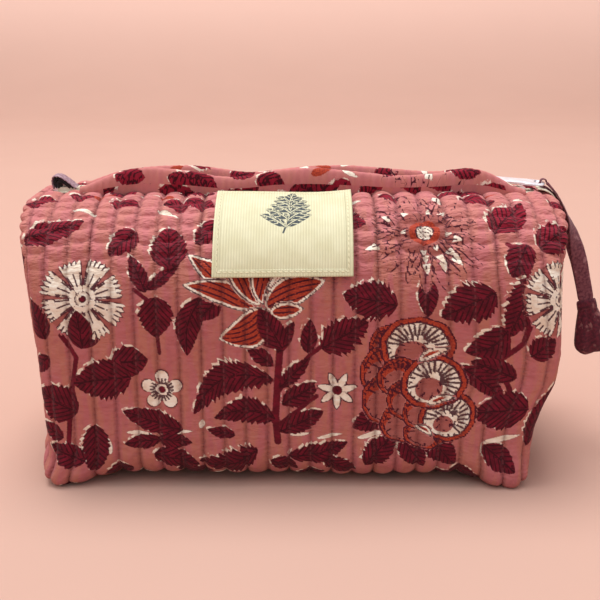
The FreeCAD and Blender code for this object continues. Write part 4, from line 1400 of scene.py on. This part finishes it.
LABEL_MIDDLE = -2.5
LABEL_U = 60.0
LABEL_W = 49.0
LABEL_LOW = 97.2
LABEL_THICK_M = 0.0006


def leaf_sprig(x, y):
    """Signed distance to a small generic leaf sprig."""
    p = Print(x, y)

    def bow_x(h):
        return 3.0 * math.sin(h / 9.0)

    places = [(bow_x(h), h - 11.0) for h in range(0, 22, 3)]
    p.stem(places, 0.42)
    for step, h in enumerate(range(3, 20, 4)):
        reach = 11.5 - step * 1.3
        for side in (-1.0, 1.0):
            x0, y0 = bow_x(h), h - 11.0
            p.leaf(x0, y0, x0 + side * reach, y0 + reach * 0.62, 2.1, 0.0, side * 0.9, 0.0)
    p.leaf(bow_x(19), 8.0, bow_x(19) + 1.6, 17.0, 2.2, 0.0, 0.0, 0.0)
    return p.maroon, np.where(p.ink < 8.0, p.ink, 9.0)


def woven_label(name):
    paint = Paint(name, roughness=0.55, sheen=0.05, specular=0.35)
    place, u, w = paint.cloth()
    patch = paint.noise(place, 1.2, 3.0)
    fine = paint.noise(place, 50.0, 2.0)
    ground = paint.mix(paint.span(patch, 0.3, 0.7), linear(220, 218, 182), linear(210, 207, 168))
    ribs = paint.wave(u, 8.5 * TAU)
    picks = paint.wave(w, 22.0 * TAU)
    colour = paint.mix(paint.times(ribs, 0.35), ground, linear(172, 166, 128))
    mark = paint.span(paint.math("MULTIPLY_ADD", fine, 0.3, paint.field("sprig")), 0.28, 0.0)
    rib = paint.math("ABSOLUTE", paint.field("rib"))
    mark = paint.times(mark, paint.span(rib, 0.10, 0.34))
    colour = paint.mix(mark, colour, linear(44, 58, 62))
    border = paint.field("border")
    row = paint.span(paint.away(border, 2.0), 0.40, 0.22)
    beat = paint.math("FRACT", paint.times(paint.math("ADD", u, w), 4.2))
    dash = paint.times(row, paint.span(paint.away(beat, 0.5), 0.36, 0.28))
    colour = paint.mix(paint.times(row, 0.25), colour, linear(186, 178, 130))
    colour = paint.mix(paint.times(dash, 0.7), colour, linear(240, 234, 196))
    hem = paint.span(border, 3.2, 2.8)
    paint.colour(paint.mix(paint.times(hem, 0.12), colour, linear(200, 194, 150)))
    paint.rough(paint.span(fine, 0.2, 0.8, 0.5, 0.66))
    paint.bumps((ribs, 0.10), (picks, 0.02), (dash, 0.18), (hem, 0.25))
    return paint.material


label_u = np.linspace(-LABEL_U / 2, LABEL_U / 2, 121)
label_v = np.linspace(0.0, LABEL_W, 99)
gu, gv = np.meshgrid(label_u, label_v)
place_y, place_z, away_y, away_z = section(-(LABEL_LOW + gv + B_LOW - LOW_ROUND))
side_lift = 0.5 * (np.abs(gu) / 30.0) ** 4
lift = 1.35 + 0.5 * ((gv - 24.0) / 24.5) ** 2 + side_lift + 0.25 * drift(gu, gv, 38.0, 3.0)
lift = lift + sag(gu + LABEL_MIDDLE, LABEL_LOW + gv) * 0.7
skew = 0.012 * (gv - 24.0)
label_points = np.stack(
    [LABEL_MIDDLE + gu + skew, place_y + away_y * lift, place_z + away_z * lift + 0.012 * gu], -1
)
label = sheet_mesh("label_sheet", label_points, cloth=(gu, gv))
mark, rib = leaf_sprig(gu.ravel(), gv.ravel() - 30.0)
edge = np.minimum(np.minimum(gu + LABEL_U / 2, LABEL_U / 2 - gu), np.minimum(gv, LABEL_W - gv)).ravel()
for field, values in (("sprig", mark), ("rib", rib), ("border", edge)):
    add_field(label.data, field, values)
own(label, woven_label("label_weave"))
fold(label, "middle")
thick = label.modifiers.new("thickness", "SOLIDIFY")
thick.thickness = LABEL_THICK_M
thick.offset = 1.0
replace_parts(label, "label")

# ---------------------------------------------------------------- folded tab at the zip's left end


def arch(name, points, half_wide, half_thick, material):
    line = np.array([(x, 0.0, z) for x, z in points], float)
    fine = np.linspace(0, len(line) - 1, 34)
    smooth = np.stack([np.interp(fine, np.arange(len(line)), line[:, k]) for k in range(3)], -1)
    for _ in range(6):
        smooth[1:-1] = (smooth[:-2] + 2 * smooth[1:-1] + smooth[2:]) / 4
    rows = strip_rows(smooth, ([0, 1], [half_wide] * 2), ([0, 1], [half_thick] * 2), ([0, 1], [0.0, 0.0]))
    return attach(cloth_strip(name, rows, material), "root")


# painted shadow: near-black cloth pieces inside the folded tab stand in for the shade within its loop
LOOP_SHADOW = strap_cloth("tab_lining", linear(40, 30, 34), linear(20, 14, 18), linear(70, 56, 60), 0.2)
tab = arch(
    "left_tab_ribbon",
    [(-109.6, 126.4), (-110.6, 129.6), (-109.8, 132.3), (-106.8, 132.2), (-103.0, 129.6), (-99.4, 126.4)],
    4.2, 0.42, RIBBON,
)
arch(
    "left_tab_inner",
    [(-108.4, 126.6), (-109.3, 129.4), (-108.6, 131.1), (-106.3, 130.9), (-103.2, 128.6), (-100.8, 126.5)],
    3.7, 0.55, LOOP_SHADOW,
)
arch(
    "left_tab_core",
    [(-107.3, 126.6), (-108.0, 128.8), (-107.2, 129.8), (-105.6, 129.4), (-103.6, 127.9), (-102.2, 126.6)],
    3.5, 0.8, LOOP_SHADOW,
)
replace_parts(tab, "left_end_tab")

# ---------------------------------------------------------------- bound seams inside


def inner_binding(name, line, deep_way, node):
    """Cloth-bound seam allowance: a soft strip standing on the lining along a line."""
    line = np.array(line, float)
    deep_way = np.array(deep_way, float)
    along = np.gradient(line, axis=0)
    along /= np.linalg.norm(along, axis=1, keepdims=True)
    thin_way = np.cross(along, deep_way)
    share = np.linspace(0, 1, len(line))
    deep, thin = squarish(turns(16), 0.6, 0.7)
    wobble = (0.5 * np.sin(share * 19.0) + 0.2 * np.sin(share * 53.0))[:, None, None]
    rows = line[:, None, :] + deep_way * (3.0 * deep)[None, :, None]
    rows = rows + thin_way[:, None, :] * ((1.15 * thin)[None, :, None] + wobble)
    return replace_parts(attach(cloth_strip(name, rows, SEAM), "root"), node)


levels = np.linspace(14.0, 107.0, 60)
for side, word in ((-1.0, "left"), (1.0, "right")):
    wall = [(side * (end_reach(z) - 7.6), 0.0, z) for z in levels]
    inner_binding(f"{word}_seam_strip", wall, (side, 0.0, 0.1), f"{word}_seam_binding")
    run = [(side * 95.2, y, 8.4) for y in np.linspace(-39.0, 39.0, 50)]
    inner_binding(f"{word}_corner_strip", run, (0.0, 0.0, 1.0), f"{word}_corner_binding")

# ---------------------------------------------------------------- kept CAD nodes

KEPT = {
    "slider_body": METAL, "slider_bridge": METAL, "top_stops": METAL, "bottom_stop": METAL,
    "front_zip_coil_ends": COIL, "rear_zip_coil_ends": COIL,
}
for node, material in KEPT.items():
    holder = frame["nodes"][node]
    if not holder.material_slots:
        holder.data.materials.append(material)
    for place in holder.material_slots:
        place.material = material

# ---------------------------------------------------------------- floor and light

backdrop = Paint("backdrop", roughness=0.95, specular=0.1)
spot = backdrop.place()
grain = backdrop.noise(spot, 6.0, 2.0)
height = backdrop.node("ShaderNodeSeparateXYZ")
backdrop.put(spot, height.inputs[0])
floor_tint = backdrop.mix(backdrop.span(grain, 0.2, 0.8), linear(195, 160, 145), linear(193, 158, 143))
backdrop.colour(backdrop.mix(backdrop.span(height.outputs[2], 0.0, 0.5), floor_tint, linear(252, 216, 200)))
backdrop.bumps((grain, 0.05))
# in metres: flat under the bag, curving up into a wall behind it and rising far off on the other sides
flat_run = np.linspace(-12.0, 1.6, 24)
bend = np.linspace(0.1, math.pi / 2, 16)
run = np.concatenate([flat_run, 1.6 + 0.9 * np.sin(bend), [2.5, 2.5]])
rise = np.concatenate([2.4 * ramp(-flat_run, 7.5, 12.0), 0.9 - 0.9 * np.cos(bend), [2.2, 4.0]])
wide = np.linspace(-8.0, 8.0, 49)
edges = 2.2 * ramp(np.abs(wide), 3.6, 7.6)
across, back = np.meshgrid(wide, run)
sweep = np.stack([across, back, np.maximum(rise[:, None], edges[None, :])], -1)
floor = sheet_mesh("floor", sweep * 1000.0)
floor.data.materials.append(backdrop.material)

world = bpy.data.worlds.new("studio")
world.use_nodes = True
world.node_tree.nodes["Background"].inputs["Color"].default_value = linear(244, 246, 255)
world.node_tree.nodes["Background"].inputs["Strength"].default_value = 0.58
scene.world = world


def soft_light(name, place, aim, size, power, tint):
    data = bpy.data.lights.new(name, "AREA")
    data.shape = "DISK"
    data.size = size
    data.energy = power
    data.color = tint
    way = np.array(aim) - np.array(place)
    flat = math.hypot(way[0], way[1])
    stand(name, data, place, (math.pi / 2 + math.atan2(way[2], flat), 0.0, math.atan2(-way[0], way[1])))


soft_light("key", (-0.25, 0.42, 2.4), (0.0, 0.0, 0.1), 1.5, 52.0, (1.0, 0.97, 0.96))
soft_light("front", (0.3, -1.5, 0.8), (0.0, 0.0, 0.06), 1.2, 0.5, (1.0, 0.96, 0.94))
sun_data = bpy.data.lights.new("sky", "SUN")
sun_data.energy = 1.1
sun_data.angle = math.radians(60.0)
stand("sky", sun_data, turn=(math.radians(12.0), math.radians(-14.0), 0.0))
scene.view_settings.view_transform = "Standard"
